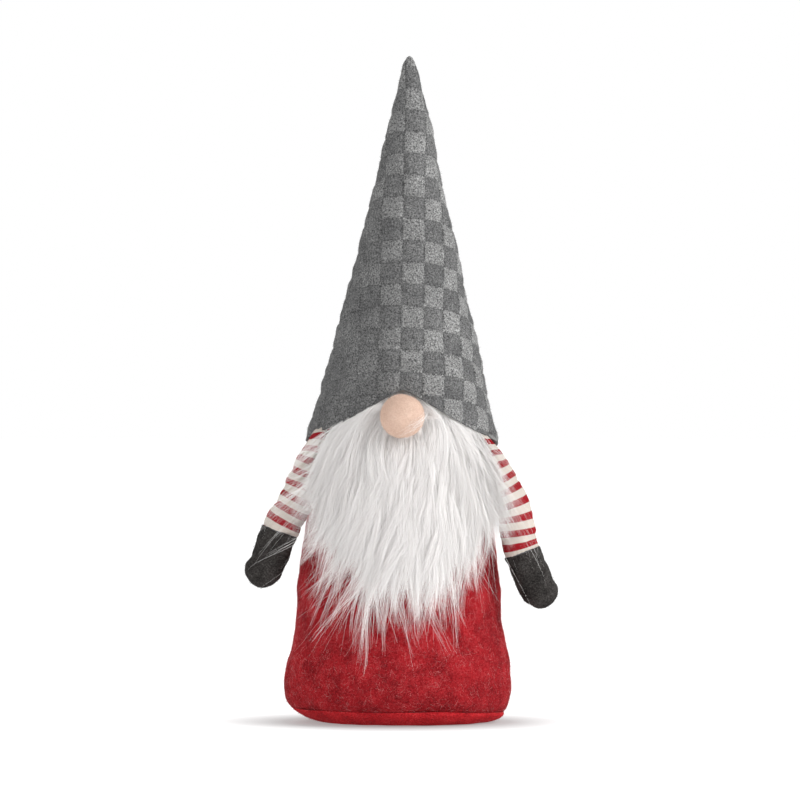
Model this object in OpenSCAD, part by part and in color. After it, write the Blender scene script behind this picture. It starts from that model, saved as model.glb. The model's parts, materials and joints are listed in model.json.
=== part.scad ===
// Standing felt gnome with a tall woven-pattern hat, a ball nose, a fur beard and two floppy arms.
// Millimetres. +Z is up, the front faces -Y, and the origin is the centre of the base on the table.
// Right and left are the gnome's own: its right arm is on the -X side.

/* [Robe] */
// Radius of the flat foot that rests on the table
foot_r = 60; // [50:1:66]
// Height of the seam between the bottom panel and the robe
seam_z = 12.2; // [10:0.1:16]
// Radius of the robe at that seam
seam_r = 79.5; // [76:0.5:81]
// Radius of the robe at its widest
hip_r = 84.6; // [82:0.1:88]
// Radius of the robe where the hip's curve ends
waist_r = 75.4; // [72:0.1:78]
// Radius of the robe at the shoulders, where the head begins
neck_r = 65.1; // [60:0.1:66]
// Height at which the head begins
neck_z = 195; // [185:1:196]
// Height of the head's dome above that
head_h = 86; // [70:1:88]
// Thickness of the robe's felt
felt = 2.5; // [1.5:0.1:3]

/* [Hat] */
// Height of the hat's tip above the table
tip_z = 500; // [470:1:520]
// Height of the brim at the sides and back
brim_z = 208; // [206:0.5:212]
// Radius of the hat at the brim
brim_r = 73; // [73:0.1:76]
// Sideways offset of the hat from the body, towards the gnome's left
hat_dx = 3.5; // [0:0.1:3.5]
// Lean of the hat in degrees, towards the gnome's left
hat_lean = 1.1; // [0:0.1:2]
// Height that the brim's arch rises above the sides, over the nose
arch_h = 39; // [30:1:42]
// Thickness of the hat's felt
hat_felt = 3; // [2:0.1:3]

/* [Nose and beard] */
// Radius of the nose
nose_r = 16.3; // [12:0.1:17]
// Centre of the nose
nose_at = [3.6, -78.6, 231]; // [-100:0.1:260]
// Half the width of the beard
beard_half_w = 55; // [40:1:56]
// Depth of the beard's pile in front of its backing
pile = 14; // [8:1:16]
// Height of the beard's lowest tufts
beard_low_z = 96; // [80:1:120]
// Height of the fold under the nose, about which the lower beard lifts
fold_z = 212; // [208:0.5:213]
// How far the lower beard lifts, in degrees
beard_lift = 45; // [30:1:45]

/* [Arms] */
// Height of the right and the left shoulder
shoulder_z = [195, 190]; // [185:1:196]
// Distance of both shoulders from the body's axis
shoulder_d = 77.3; // [77:0.1:80]
// Direction of both shoulders, in degrees from straight ahead
shoulder_az = 65; // [60:1:90]
// How far the right and the left arm hang out from vertical, in degrees
arm_tilt = [19.5, 21]; // [15:0.5:30]
// Length of the right and the left sleeve, from the shoulder to the cuff
sleeve_len = [54.2, 66]; // [45:0.5:75]
// Length of each mitten, from the cuff to its tip
mitten_len = 45; // [35:1:50]
// Radius of the sleeve's round top
shoulder_r = 11; // [8:0.1:11]
// Radius of the sleeve at the cuff
cuff_r = 13.5; // [12:0.1:14]
// Radius of the mitten at its widest
mitten_r = 14.8; // [13.5:0.1:15.5]
// How far an arm rises sideways from where it hangs, in degrees
arm_raise = 70; // [40:1:70]

/* [Hidden] */
$fn = 96;

RIGHT = 0;
LEFT = 1;
side_sign = [-1, 1];

gap = 0.1;            // air between pieces that are sewn or packed together
move_gap = 0.4;       // air between pieces that move past each other
far = 400;            // reach of a cutting solid past the object
steps = 10;           // straight steps along one curve of an outline

hip_z = 28;           // height of the robe's widest ring
waist_z = 99.5;       // height where the hip's curve ends
seam_flap = 8;        // width of the two seam allowances turned inwards at the bottom seam
thread_r = 0.4;       // radius of a sewing thread drawn up as a ring

stiffener_r = 58;
stiffener_t = 2;
pouch_r = 55;         // radius of the weight pouch
pouch_h = 44;         // its height
pouch_t = 1;          // thickness of its cloth

tip_r = 4.5;          // radius of the hat's round tip
arch_foot = 4.5;      // how far the arch's curve would run out below the brim's sides
arch_spread = 53;     // degrees from straight ahead in which the arch falls to a third
arch_power = 1.3;     // how pointed the arch is: 1 is a sharp peak, 2 a round one
arch_draw_in = 0.0035; // share of its radius that the hat loses with each millimetre of height
lining_gap = 1;       // air between the hat and the head's filling
hem = 4;              // height of the brim's stitches above its edge
backing_t = 1.5;      // thickness of the beard's woven backing
backing_top_z = 252;  // the backing's top edge, hidden behind the brim
backing_low_z = 116;  // the backing's lower edge, which the pile hangs past
beard_side_y = -20;   // how far back the beard reaches at its sides
beard_round_h = 45;   // height of the beard's rounded lower part
fold_lap = 2;         // how far the lower beard's solids start above the fold, before they are cut to it
nose_felt = 1.5;
nose_thread_r = 1;
sleeve_t = 1.2;       // thickness of the knitted sleeve
mitten_t = 2;         // thickness of the mitten's felt
cuff_gap = 1;         // room for the cuff's thread between sleeve and mitten
knot_r = 3.5;         // radius of the knot at the arm's root
shank_r = 0.7;        // radius of the threads that run from the knot to the robe
funnel_margin = 18;   // degrees of room beside those threads as the arm rises
back_strip_w = 1.2;   // width of a back seam's line of stitches
back_strip_h = 0.5;   // its height above the felt

function bezier(a, b, c, d, t) =
    a * pow(1 - t, 3) + 3 * b * t * pow(1 - t, 2) + 3 * c * t * t * (1 - t) + d * pow(t, 3);
function curve(a, b, c, d) = [for (i = [0:steps]) bezier(a, b, c, d, i / steps)];

// Outer outline of the robe below the waist, as [radius, height]
foot_curve = curve([seam_r, seam_z], [seam_r + 2.5, seam_z + 3.3], [hip_r, hip_z - 7], [hip_r, hip_z]);
hip_curve = curve([hip_r, hip_z], [hip_r, hip_z + 19], [waist_r, waist_z - 32], [waist_r, waist_z]);

// Radius of the robe's outside at a height above the hip's curve
function robe_r(z) =
    z < neck_z ? waist_r + (neck_r - waist_r) * (z - waist_z) / (neck_z - waist_z)
               : neck_r * sqrt(1 - pow((z - neck_z) / head_h, 2));

// The robe's outline moved inwards by d
function inset(points, d) = [for (p = points) [max(p[0] - d, 0), p[1]]];
function head_inset(d) =
    [for (i = [0:steps]) let (a = 90 * i / steps) [(neck_r - d) * cos(a), neck_z + (head_h - d) * sin(a)]];
function robe_outline(d) = concat(inset(foot_curve, d), inset(hip_curve, d), head_inset(d));

// A closed ring solid between the robe's surface moved out by a and by b, from height z0 to z1
module robe_band(a, b, z0, z1) {
    heights = [for (i = [0:steps]) z0 + (z1 - z0) * i / steps];
    inner = [for (z = heights) [robe_r(z) + a, z]];
    outer = [for (i = [steps:-1:0]) [robe_r(heights[i]) + b, heights[i]]];
    rotate_extrude() polygon(concat(inner, outer));
}

// ---- Base ----

module base_panel() {
    rim = curve([foot_r, 0], [foot_r + 6, 0], [seam_r - 2.5, seam_z - 4.7], [seam_r, seam_z - gap]);
    inside = [for (i = [steps:-1:0]) [rim[i][0] - felt, rim[i][1] + felt * (1 - i / steps)]];
    color([0.55, 0.09, 0.11])
    rotate_extrude() union() {
        polygon(concat([[0, 0]], rim, inside, [[0, felt]]));
        translate([seam_r - seam_flap, seam_z - gap - felt]) square([seam_flap - felt / 2, felt]);
    }
}

module base_stiffener() {
    color([0.72, 0.6, 0.45])
    translate([0, 0, felt + gap]) cylinder(h = stiffener_t, r = stiffener_r);
}

pouch_z = felt + stiffener_t + 2 * gap;

// A flattened bag: flat below, domed above
module pouch_solid(d) {
    rotate_extrude()
    polygon(concat([[0, pouch_z + d]],
        [for (i = [0:steps]) let (a = 90 * i / steps)
            [(pouch_r - d) * sqrt(cos(a)), pouch_z + d + (pouch_h - 2 * d) * sin(a)]]));
}

module weight_pouch() {
    color([0.85, 0.82, 0.74])
    difference() {
        pouch_solid(0);
        pouch_solid(pouch_t);
    }
}

module weight_pellets() {
    color([0.9, 0.9, 0.88]) pouch_solid(pouch_t + gap);
}

// ---- Robe ----

module robe_shell() {
    color([0.66, 0.1, 0.13])
    rotate_extrude() union() {
        difference() {
            polygon(concat([[0, seam_z]], robe_outline(0)));
            polygon(concat([[0, seam_z - 1]], [[seam_r - felt, seam_z - 1]], robe_outline(felt)));
        }
        translate([seam_r - seam_flap, seam_z]) square([seam_flap - felt / 2, felt]);
    }
}

module body_stuffing() {
    color([0.95, 0.95, 0.93])
    difference() {
        rotate_extrude() polygon(concat([[0, seam_z + felt + gap]],
            [[seam_r - felt - gap, seam_z + felt + gap]],
            [for (p = robe_outline(felt + gap)) if (p[1] > seam_z + felt + gap) p]));
        pouch_solid(-gap);
    }
}

module base_seam_thread() {
    color([0.35, 0.05, 0.07])
    rotate_extrude() translate([seam_r + thread_r + gap, seam_z - thread_r])
    circle(r = thread_r, $fn = 16);
}

module robe_back_thread() {
    line = [for (p = concat(foot_curve, hip_curve)) if (p[1] > seam_z + 2) p];
    top = [[robe_r(neck_z), neck_z]];
    inner = [for (p = concat(line, top)) [p[0] + gap, p[1]]];
    outer = [for (i = [len(inner) - 1:-1:0]) [inner[i][0] + back_strip_h, inner[i][1]]];
    color([0.35, 0.05, 0.07])
    rotate([90, 0, 90]) translate([0, 0, -back_strip_w / 2])
    linear_extrude(back_strip_w) polygon(concat(inner, outer));
}

// ---- Hat, in its own frame: brim's centre at the origin, +Z towards the tip ----

hat_h = tip_z - brim_z;

// Outer outline of the hat: straight sides that draw in a little faster near the tip
hat_side = [[brim_r, 0], [24.5, 0.705 * hat_h], [15, 0.862 * hat_h], [7.9, 0.952 * hat_h]];
hat_tip = [for (i = [1:steps]) let (a = 90 * i / steps) [tip_r * cos(a), hat_h - tip_r + tip_r * sin(a)]];

module in_hat_frame() {
    translate([hat_dx, 0, brim_z]) rotate([0, hat_lean, 0]) children();
}

// Everything inside the hat's surface moved inwards by d
module hat_solid(d) {
    rotate_extrude()
    polygon(concat([[0, 0]], inset(hat_side, d), [for (p = hat_tip) [max(p[0] - d, 0), p[1] - d]]));
}

// Height of the brim above its sides, at an angle from straight ahead
function arch_z(a) = (arch_h + arch_foot) * exp(-pow(abs(a) / arch_spread, arch_power)) - arch_foot;

// The space under the brim's arch, in front of the body
module under_arch(d) {
    points = [for (a = [-90:10:90]) let (z = max(arch_z(a), 0))
        [brim_r * (1 - arch_draw_in * z) * sin(a), z - d]];
    side = brim_r + hem;
    rotate([90, 0, 0]) linear_extrude(far)
    polygon(concat([[-side, -far], [-side, -d]], points, [[side, -d], [side, -far]]));
}

module hat_shell() {
    color([0.42, 0.42, 0.43])
    in_hat_frame() difference() {
        hat_solid(0);
        translate([0, 0, -gap]) hat_solid(hat_felt);
        under_arch(0);
    }
}

// The filling stands on the head and fills the hat's point
module hat_stuffing() {
    color([0.95, 0.95, 0.93])
    difference() {
        in_hat_frame() hat_solid(hat_felt + gap);
        translate([-far / 2, -far / 2, 0]) cube([far, far, neck_z + head_h + lining_gap]);
    }
}

module hat_back_thread() {
    side = [for (i = [0:2]) [hat_side[i][0] + gap, hat_side[i][1] + hem / 2]];
    outer = [for (i = [len(side) - 1:-1:0]) [side[i][0] + back_strip_h, side[i][1]]];
    color([0.3, 0.3, 0.31])
    in_hat_frame() rotate([90, 0, 90]) translate([0, 0, -back_strip_w / 2])
    linear_extrude(back_strip_w) polygon(concat(side, outer));
}

// Half a ring of thread just inside the brim, round the back of the head
module brim_thread() {
    color([0.3, 0.3, 0.31])
    in_hat_frame() rotate_extrude(angle = 180)
    translate([brim_r - hat_felt - 5 * thread_r, hem]) circle(r = thread_r, $fn = 16);
}

// ---- Nose ----

module nose_cover() {
    color([0.94, 0.78, 0.68])
    translate(nose_at) difference() {
        sphere(r = nose_r);
        sphere(r = nose_r - nose_felt);
        rotate([-90, 0, 0]) cylinder(h = far, r = nose_thread_r + gap);
    }
}

module nose_stuffing() {
    color([0.95, 0.95, 0.93])
    translate(nose_at) difference() {
        sphere(r = nose_r - nose_felt - gap);
        rotate([-90, 0, 0]) cylinder(h = far, r = nose_thread_r + gap);
    }
}

// Doubled thread from inside the nose, through the beard, to the face of the robe
module nose_thread() {
    root = -robe_r(nose_at[2]) - gap;
    start = nose_at[1] + nose_r / 2;
    color([0.85, 0.7, 0.6])
    translate([nose_at[0], start, nose_at[2]]) rotate([-90, 0, 0])
    cylinder(h = root - start, r = nose_thread_r);
}

module nose_passage() {
    translate([nose_at[0], 0, nose_at[2]]) rotate([90, 0, 0]) cylinder(h = far, r = nose_thread_r + gap);
}

// ---- Beard ----

fold_y = -(robe_r(fold_z) + gap + backing_t);

// The block of space in front that is as wide as the beard
module beard_width() {
    translate([-beard_half_w, -far, 0]) cube([2 * beard_half_w, far + beard_side_y, far]);
}

// The space that the lower beard leaves free at the fold, so that it can lift
module above_fold() {
    drop = far * tan(beard_lift + 2);
    rotate([90, 0, 90]) translate([0, 0, -far]) linear_extrude(2 * far)
    polygon([[fold_y, fold_z - move_gap], [far, fold_z - move_gap], [far, far + fold_z], [-far, far + fold_z],
        [fold_y - far, fold_z - move_gap - drop]]);
}

module beard_backing_upper() {
    color([0.9, 0.88, 0.84])
    difference() {
        intersection() {
            robe_band(gap, gap + backing_t, fold_z + move_gap, backing_top_z);
            beard_width();
        }
        nose_passage();
    }
}

module beard_pile_upper() {
    color([0.93, 0.92, 0.91])
    difference() {
        intersection() {
            robe_band(2 * gap + backing_t, backing_t + pile, fold_z + move_gap, backing_top_z);
            beard_width();
            in_hat_frame() under_arch(1);
        }
        translate(nose_at) sphere(r = nose_r + gap);
        nose_passage();
    }
}

module beard_backing_lower() {
    color([0.9, 0.88, 0.84])
    difference() {
        intersection() {
            robe_band(move_gap, move_gap + backing_t, backing_low_z, fold_z + fold_lap);
            beard_width();
        }
        above_fold();
    }
}

// The pile hangs past the backing and draws in to a rounded lower edge
module beard_pile_lower() {
    outline_top = fold_z + fold_lap;
    tongue = [for (i = [0:steps]) let (a = -180 + 180 * i / steps)
        [beard_half_w * cos(a), beard_low_z + beard_round_h * (1 + sin(a))]];
    color([0.93, 0.92, 0.91])
    difference() {
        intersection() {
            robe_band(move_gap + backing_t + gap, backing_t + pile, beard_low_z, outline_top);
            rotate([90, 0, 0]) linear_extrude(far)
            polygon(concat([[-beard_half_w, outline_top]], tongue, [[beard_half_w, outline_top]]));
        }
        above_fold();
    }
}

// The line of stitches that holds the beard's top edge to the head, under the brim
module beard_thread() {
    z = backing_top_z - 3;
    half_angle = 45;
    color([0.9, 0.88, 0.84])
    rotate([0, 0, -90 - half_angle]) rotate_extrude(angle = 2 * half_angle)
    translate([robe_r(z) + backing_t + 3 * gap + thread_r, z]) circle(r = thread_r, $fn = 16);
}

// ---- Arms, each in its own frame: shoulder at the origin, the arm hanging along -Z ----

module in_arm_frame(side) {
    s = side_sign[side];
    translate([s * shoulder_d * sin(shoulder_az), -shoulder_d * cos(shoulder_az), shoulder_z[side]])
    rotate([0, -s * arm_tilt[side], 0]) children();
}

// Everything inside the sleeve's surface moved inwards by d, closed by a round top
module sleeve_solid(side, d) {
    union() {
        sphere(r = shoulder_r - d);
        translate([0, 0, -sleeve_len[side]])
        cylinder(h = sleeve_len[side], r1 = cuff_r - d, r2 = shoulder_r - d);
    }
}

// Everything inside the mitten's surface moved inwards by d: a tube that swells and ends round
module mitten_solid(side, d) {
    top = -sleeve_len[side] - cuff_gap;
    bottom = -sleeve_len[side] - mitten_len;
    swell = curve([cuff_r - d, top], [cuff_r + 0.5 - d, top - 8], [mitten_r - d, top - 14],
        [mitten_r - d, bottom + mitten_r]);
    tip = [for (i = [1:steps]) let (a = 90 * i / steps)
        [(mitten_r - d) * cos(a), bottom + mitten_r - (mitten_r - d) * sin(a)]];
    rotate_extrude() polygon(concat([[0, top]], swell, tip));
}

// The funnel in the sleeve's round top through which the arm's threads reach the robe.
// It covers every direction they take as the arm rises.
module root_funnel(side) {
    middle = 90 - arm_tilt[side] - arm_raise / 2;
    half_angle = arm_raise / 2 + funnel_margin;
    depth = 2 * shoulder_r;
    rotate([0, -side_sign[side] * middle, 0]) cylinder(h = depth, r1 = 0, r2 = depth * tan(half_angle));
}

module sleeve(side) {
    color([0.8, 0.25, 0.28])
    in_arm_frame(side) difference() {
        sleeve_solid(side, 0);
        sleeve_solid(side, sleeve_t);
        translate([0, 0, -sleeve_len[side] - 1]) cylinder(h = 2, r = cuff_r - sleeve_t);
        root_funnel(side);
    }
}

module arm_stuffing(side) {
    color([0.95, 0.95, 0.93])
    in_arm_frame(side) difference() {
        union() {
            sleeve_solid(side, sleeve_t + gap);
            translate([0, 0, -sleeve_len[side] - cuff_gap - gap])
            cylinder(h = cuff_gap + 2 * gap, r = cuff_r - mitten_t - gap);
            mitten_solid(side, mitten_t + gap);
        }
        sphere(r = knot_r + move_gap);
        root_funnel(side);
    }
}

module mitten(side) {
    color([0.2, 0.2, 0.21])
    in_arm_frame(side) difference() {
        mitten_solid(side, 0);
        translate([0, 0, gap]) mitten_solid(side, mitten_t);
        translate([0, 0, -sleeve_len[side] - cuff_gap - 1]) cylinder(h = 2, r = cuff_r - mitten_t);
    }
}

module cuff_thread(side) {
    color([0.25, 0.22, 0.22])
    in_arm_frame(side) translate([0, 0, -sleeve_len[side] - cuff_gap / 2])
    rotate_extrude() translate([cuff_r - 2 * thread_r, 0]) circle(r = thread_r, $fn = 16);
}

// The knot at the arm's root and the threads that run from it, square to the body's side, to the robe
module shoulder_thread(side) {
    s = side_sign[side];
    x = shoulder_d * sin(shoulder_az);
    y = -shoulder_d * cos(shoulder_az);
    reach = x - sqrt(pow(robe_r(shoulder_z[side] - shank_r), 2) - pow(abs(y) - shank_r, 2)) - move_gap;
    color([0.8, 0.78, 0.75])
    translate([s * x, y, shoulder_z[side]]) rotate([0, 0, side == RIGHT ? 180 : 0]) union() {
        sphere(r = knot_r);
        rotate([0, -90, 0]) cylinder(h = reach, r = shank_r);
    }
}

base_panel();
base_stiffener();
weight_pouch();
weight_pellets();
robe_shell();
body_stuffing();
base_seam_thread();
robe_back_thread();
hat_shell();
hat_stuffing();
hat_back_thread();
brim_thread();
nose_cover();
nose_stuffing();
nose_thread();
beard_backing_upper();
beard_pile_upper();
beard_backing_lower();
beard_pile_lower();
beard_thread();
sleeve(RIGHT);  // right_sleeve
arm_stuffing(RIGHT);  // right_arm_stuffing
mitten(RIGHT);  // right_mitten
cuff_thread(RIGHT);  // right_cuff_thread
shoulder_thread(RIGHT);  // right_shoulder_thread
sleeve(LEFT);  // left_sleeve
arm_stuffing(LEFT);  // left_arm_stuffing
mitten(LEFT);  // left_mitten
cuff_thread(LEFT);  // left_cuff_thread
shoulder_thread(LEFT);  // left_shoulder_thread
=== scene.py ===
import json
import math

import bpy
import numpy as np
from mathutils import Matrix, Vector, kdtree


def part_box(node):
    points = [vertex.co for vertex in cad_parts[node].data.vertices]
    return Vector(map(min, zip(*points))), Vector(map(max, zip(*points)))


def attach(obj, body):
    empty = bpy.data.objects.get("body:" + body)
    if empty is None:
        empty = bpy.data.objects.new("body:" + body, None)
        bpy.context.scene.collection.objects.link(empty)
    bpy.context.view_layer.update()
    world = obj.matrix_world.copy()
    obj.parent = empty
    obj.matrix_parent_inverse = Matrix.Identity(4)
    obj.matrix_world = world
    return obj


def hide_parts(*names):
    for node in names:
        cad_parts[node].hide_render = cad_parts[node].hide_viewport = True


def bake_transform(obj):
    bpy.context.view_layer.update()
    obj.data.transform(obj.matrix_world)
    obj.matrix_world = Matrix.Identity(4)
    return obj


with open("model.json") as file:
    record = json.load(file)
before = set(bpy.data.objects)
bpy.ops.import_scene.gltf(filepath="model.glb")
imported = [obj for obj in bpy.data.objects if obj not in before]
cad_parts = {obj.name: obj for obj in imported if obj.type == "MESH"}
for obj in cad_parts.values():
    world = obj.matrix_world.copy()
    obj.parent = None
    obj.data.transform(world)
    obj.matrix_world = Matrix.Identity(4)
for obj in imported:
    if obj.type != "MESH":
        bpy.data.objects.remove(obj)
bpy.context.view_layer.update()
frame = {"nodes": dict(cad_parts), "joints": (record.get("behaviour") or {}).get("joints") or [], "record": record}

MM = 0.001
DEG = math.pi / 180
FULL_TURN = 2 * math.pi

# ---------------------------------------------------------------- dimensions, in metres

base_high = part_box("base_panel")[1]
robe_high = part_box("robe_shell")[1]
hat_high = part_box("hat_shell")[1]
nose_low, nose_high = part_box("nose_cover")

SEAM_R = base_high.x                 # radius of the bottom seam
SEAM_Z = base_high.z                 # height of the bottom seam
HIP_R = robe_high.x                  # widest radius of the robe
HIP_Z = 28 * MM                      # height at which the robe is widest
WAIST_R = 75.4 * MM                  # where the robe's flare ends and its straight taper starts
WAIST_Z = 99.5 * MM
NECK_R = 65.1 * MM                   # where the taper ends and the dome of the head starts
NECK_Z = 195 * MM
HEAD_H = robe_high.z - NECK_Z        # height of the head's dome
FOOT_R = 60 * MM                     # radius of the flat foot
ROBE_THICK = 1.8 * MM                # thickness of the robe's felt

HAT_DX = 3.5 * MM                    # the hat sits a little towards the gnome's left
HAT_LEAN = 1.1 * DEG                 # and leans that way
BRIM_Z = 208 * MM                    # height of the brim at the sides and back
BRIM_R = 73 * MM                     # radius of the hat at the brim
HAT_H = hat_high.z - BRIM_Z
HAT_OUTLINE = [(BRIM_R, -0.02), (BRIM_R, 0.0), (24.5 * MM, 0.705), (15 * MM, 0.862), (7.9 * MM, 0.952),
               (4.5 * MM, 0.985), (2.6 * MM, 0.995)]   # radius, and share of the hat's height
POINT_R = 4 * MM                     # the hat's point is rounded over this height
ARCH_H = 39 * MM                     # rise of the brim over the nose
ARCH_WIDTH = 53 * DEG                # how far round the face the arch spreads
WEAVE_U = 17.5 * MM                  # width of one woven square of the hat
WEAVE_V = 16.9 * MM                  # and its height
WEAVE_SHIFT = (4.0 * MM, 8.6 * MM)   # where the squares lie on the cloth, round and along the cone

NOSE = (nose_low + nose_high) / 2    # the middle of the ball nose
NOSE_R = (nose_high.z - nose_low.z) / 2

BEARD = "beard"                      # stands for both of the beard's bodies, above and below its fold; its pieces are only baked in place, not attached to either


def bezier(points, count):
    """Points along one cubic curve."""
    a, b, c, d = (np.array(p, float) for p in points)
    t = np.linspace(0, 1, count)[:, None]
    return a * (1 - t) ** 3 + 3 * b * t * (1 - t) ** 2 + 3 * c * t * t * (1 - t) + d * t ** 3


def robe_outline():
    """Outer outline of the robe as rows of (radius, height), from the bottom seam to the top of the head."""
    foot = bezier([(SEAM_R, SEAM_Z), (SEAM_R + 2.5 * MM, SEAM_Z + 3.3 * MM), (HIP_R, HIP_Z - 7 * MM),
                   (HIP_R, HIP_Z)], 16)
    hip = bezier([(HIP_R, HIP_Z), (HIP_R, HIP_Z + 19 * MM), (WAIST_R, WAIST_Z - 32 * MM),
                  (WAIST_R, WAIST_Z)], 30)
    a = np.linspace(0, math.pi / 2, 40)
    head = np.stack([NECK_R * np.cos(a), NECK_Z + HEAD_H * np.sin(a)], 1)
    return np.concatenate([foot, hip[1:], head])


ROBE_OUTLINE = robe_outline()


def robe_radius(z):
    return np.interp(z, ROBE_OUTLINE[:, 1], ROBE_OUTLINE[:, 0])


def brim_height(angle):
    """Height of the brim's edge in the hat's own frame, at an angle from straight ahead."""
    a = np.abs((np.asarray(angle) + math.pi) % FULL_TURN - math.pi)
    return -4.5 * MM + (ARCH_H + 4.5 * MM) * np.exp(-(a / ARCH_WIDTH) ** 1.3)


def brim_edge(angle):
    """Height of the visible edge, which the turned hem lifts a little, less so at the gnome's right."""
    dip = np.exp(-((np.asarray(angle) + 45 * DEG) / (14 * DEG)) ** 2)
    crown = np.exp(-(np.asarray(angle) / (22 * DEG)) ** 2)
    return brim_height(angle) + 1.8 * MM - 1.0 * MM * dip + 1.2 * MM * crown


def hat_radius(h):
    radius, share = np.array(HAT_OUTLINE).T
    return np.interp(h, share * HAT_H, radius)


HAT_FRAME = Matrix.Translation((HAT_DX, 0, BRIM_Z)) @ Matrix.Rotation(HAT_LEAN, 4, "Y")

# ---------------------------------------------------------------- mesh helpers


def around(angle, radius, height):
    """Points on a circle about Z, with the angle counted from straight ahead towards +X."""
    angle, radius, height = np.broadcast_arrays(angle, radius, height)
    return np.stack([radius * np.sin(angle), -radius * np.cos(angle), height], -1)


def ring_angles(count):
    return np.linspace(0, FULL_TURN, count, endpoint=False)


def transformed(points, matrix):
    m = np.array(matrix)
    return points @ m[:3, :3].T + m[:3, 3]


def wobble(points, wavelength, seed, waves=14):
    """Smooth pseudo-random values, about -1 to 1, that vary over the given wavelength."""
    local = np.random.default_rng(seed)
    directions = local.normal(size=(waves, 3))
    directions /= np.linalg.norm(directions, axis=1)[:, None]
    pitch = local.uniform(0.6, 1.5, waves) / wavelength
    phase = local.uniform(0, FULL_TURN, waves)
    total = np.zeros(points.shape[:-1])
    for direction, k, p in zip(directions, pitch, phase):
        total += np.sin(FULL_TURN * k * (points @ direction) + p)
    return total * math.sqrt(2 / waves) * 0.7


def new_object(name, vertices, face_sets, uv_sets=None, face_material=None):
    """A mesh object from an array of vertices and arrays of quads and triangles."""
    mesh = bpy.data.meshes.new(name)
    mesh.vertices.add(len(vertices))
    mesh.vertices.foreach_set("co", np.asarray(vertices, np.float32).ravel())
    face_sets = [np.asarray(f) for f in face_sets if len(f)]
    loops = np.concatenate([f.ravel() for f in face_sets]).astype(np.int32)
    sizes = np.concatenate([np.full(len(f), f.shape[1]) for f in face_sets])
    starts = np.concatenate([[0], np.cumsum(sizes)[:-1]]).astype(np.int32)
    mesh.loops.add(len(loops))
    mesh.loops.foreach_set("vertex_index", loops)
    mesh.polygons.add(len(sizes))
    mesh.polygons.foreach_set("loop_start", starts)
    if uv_sets is not None:
        layer = mesh.uv_layers.new(name="UVMap")
        layer.data.foreach_set("uv", np.concatenate([u.ravel() for u in uv_sets]).astype(np.float32))
    if face_material is not None:
        mesh.polygons.foreach_set("material_index", np.asarray(face_material, np.int32))
    mesh.update(calc_edges=True)
    mesh.polygons.foreach_set("use_smooth", np.ones(len(sizes), bool))
    obj = bpy.data.objects.new(name, mesh)
    bpy.context.scene.collection.objects.link(obj)
    return obj


def grid_corners(rows, cols, closed=True):
    """Rows and columns of the four corners of each face of a grid. A closed grid's last column counts on."""
    r, c = np.meshgrid(np.arange(rows - 1), np.arange(cols if closed else cols - 1), indexing="ij")
    r, c = r.ravel(), c.ravel()
    return [(r, c), (r, c + 1), (r + 1, c + 1), (r + 1, c)]


def grid_quads(corners, cols):
    """The corners as indices into the grid's vertices."""
    return np.stack([i * cols + j % cols for i, j in corners], 1)


def grid_object(name, points, uv=None, closed=True, cap_start=False, cap_end=False):
    """A surface from a grid of points (rows, columns). closed joins the last column to the first, and a cap
    closes the first or the last row with a fan. uv has one more column than a closed grid."""
    rows, cols = points.shape[:2]
    vertices = points.reshape(-1, 3)
    corners = grid_corners(rows, cols, closed)
    faces, uvs = [grid_quads(corners, cols)], None
    if uv is not None:
        uvs = [np.stack([uv[i, j] for i, j in corners], 1)]
    triangles, triangle_uvs = [], []
    for wanted, row, flip in ((cap_start, 0, True), (cap_end, rows - 1, False)):
        if not wanted:
            continue
        vertices = np.concatenate([vertices, points[row].mean(0)[None]])
        pole = len(vertices) - 1
        j = np.arange(cols)
        fan = np.stack([row * cols + j, row * cols + (j + 1) % cols, np.full(cols, pole)], 1)
        triangles.append(fan[:, ::-1] if flip else fan)
        if uv is not None:
            middle = np.repeat(uv[row].mean(0)[None], cols, 0)
            fan_uv = np.stack([uv[row, j], uv[row, j + 1], middle], 1)
            triangle_uvs.append(fan_uv[:, ::-1] if flip else fan_uv)
    if triangles:
        faces.append(np.concatenate(triangles))
        if uv is not None:
            uvs.append(np.concatenate(triangle_uvs))
    return new_object(name, vertices, faces, uvs)


def simulated(points, spare, pressure, frames=20):
    """Where a cloth simulation takes a grid of points (rows, columns; the columns close into a ring). The
    first and last rows are seams that stay. The cloth is cut larger than its shape by the spare share and is
    blown out by its filling, so that it swells and creases."""
    obj = grid_object("cloth_trial", points)
    rows, cols = points.shape[:2]
    seams = obj.vertex_groups.new(name="seams")
    seams.add([*range(cols), *range((rows - 1) * cols, rows * cols)], 1.0, "REPLACE")
    cloth = obj.modifiers.new("cloth", "CLOTH")
    cloth.settings.mass = 0.0004
    cloth.settings.quality = 6
    cloth.settings.vertex_group_mass = "seams"
    cloth.settings.shrink_min = -spare
    cloth.settings.use_pressure = True
    cloth.settings.uniform_pressure_force = pressure
    cloth.settings.bending_stiffness = 0.3
    cloth.settings.effector_weights.gravity = 0
    cloth.collision_settings.use_collision = False
    cloth.point_cache.frame_end = frames
    scene = bpy.context.scene
    for number in range(1, frames + 1):
        scene.frame_set(number)
    shaped = obj.evaluated_get(bpy.context.evaluated_depsgraph_get())
    mesh = shaped.to_mesh()
    result = np.empty(len(mesh.vertices) * 3, np.float32)
    mesh.vertices.foreach_get("co", result)
    shaped.to_mesh_clear()
    bpy.data.objects.remove(obj)
    scene.frame_set(1)
    return result.reshape(points.shape).astype(float)


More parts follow.
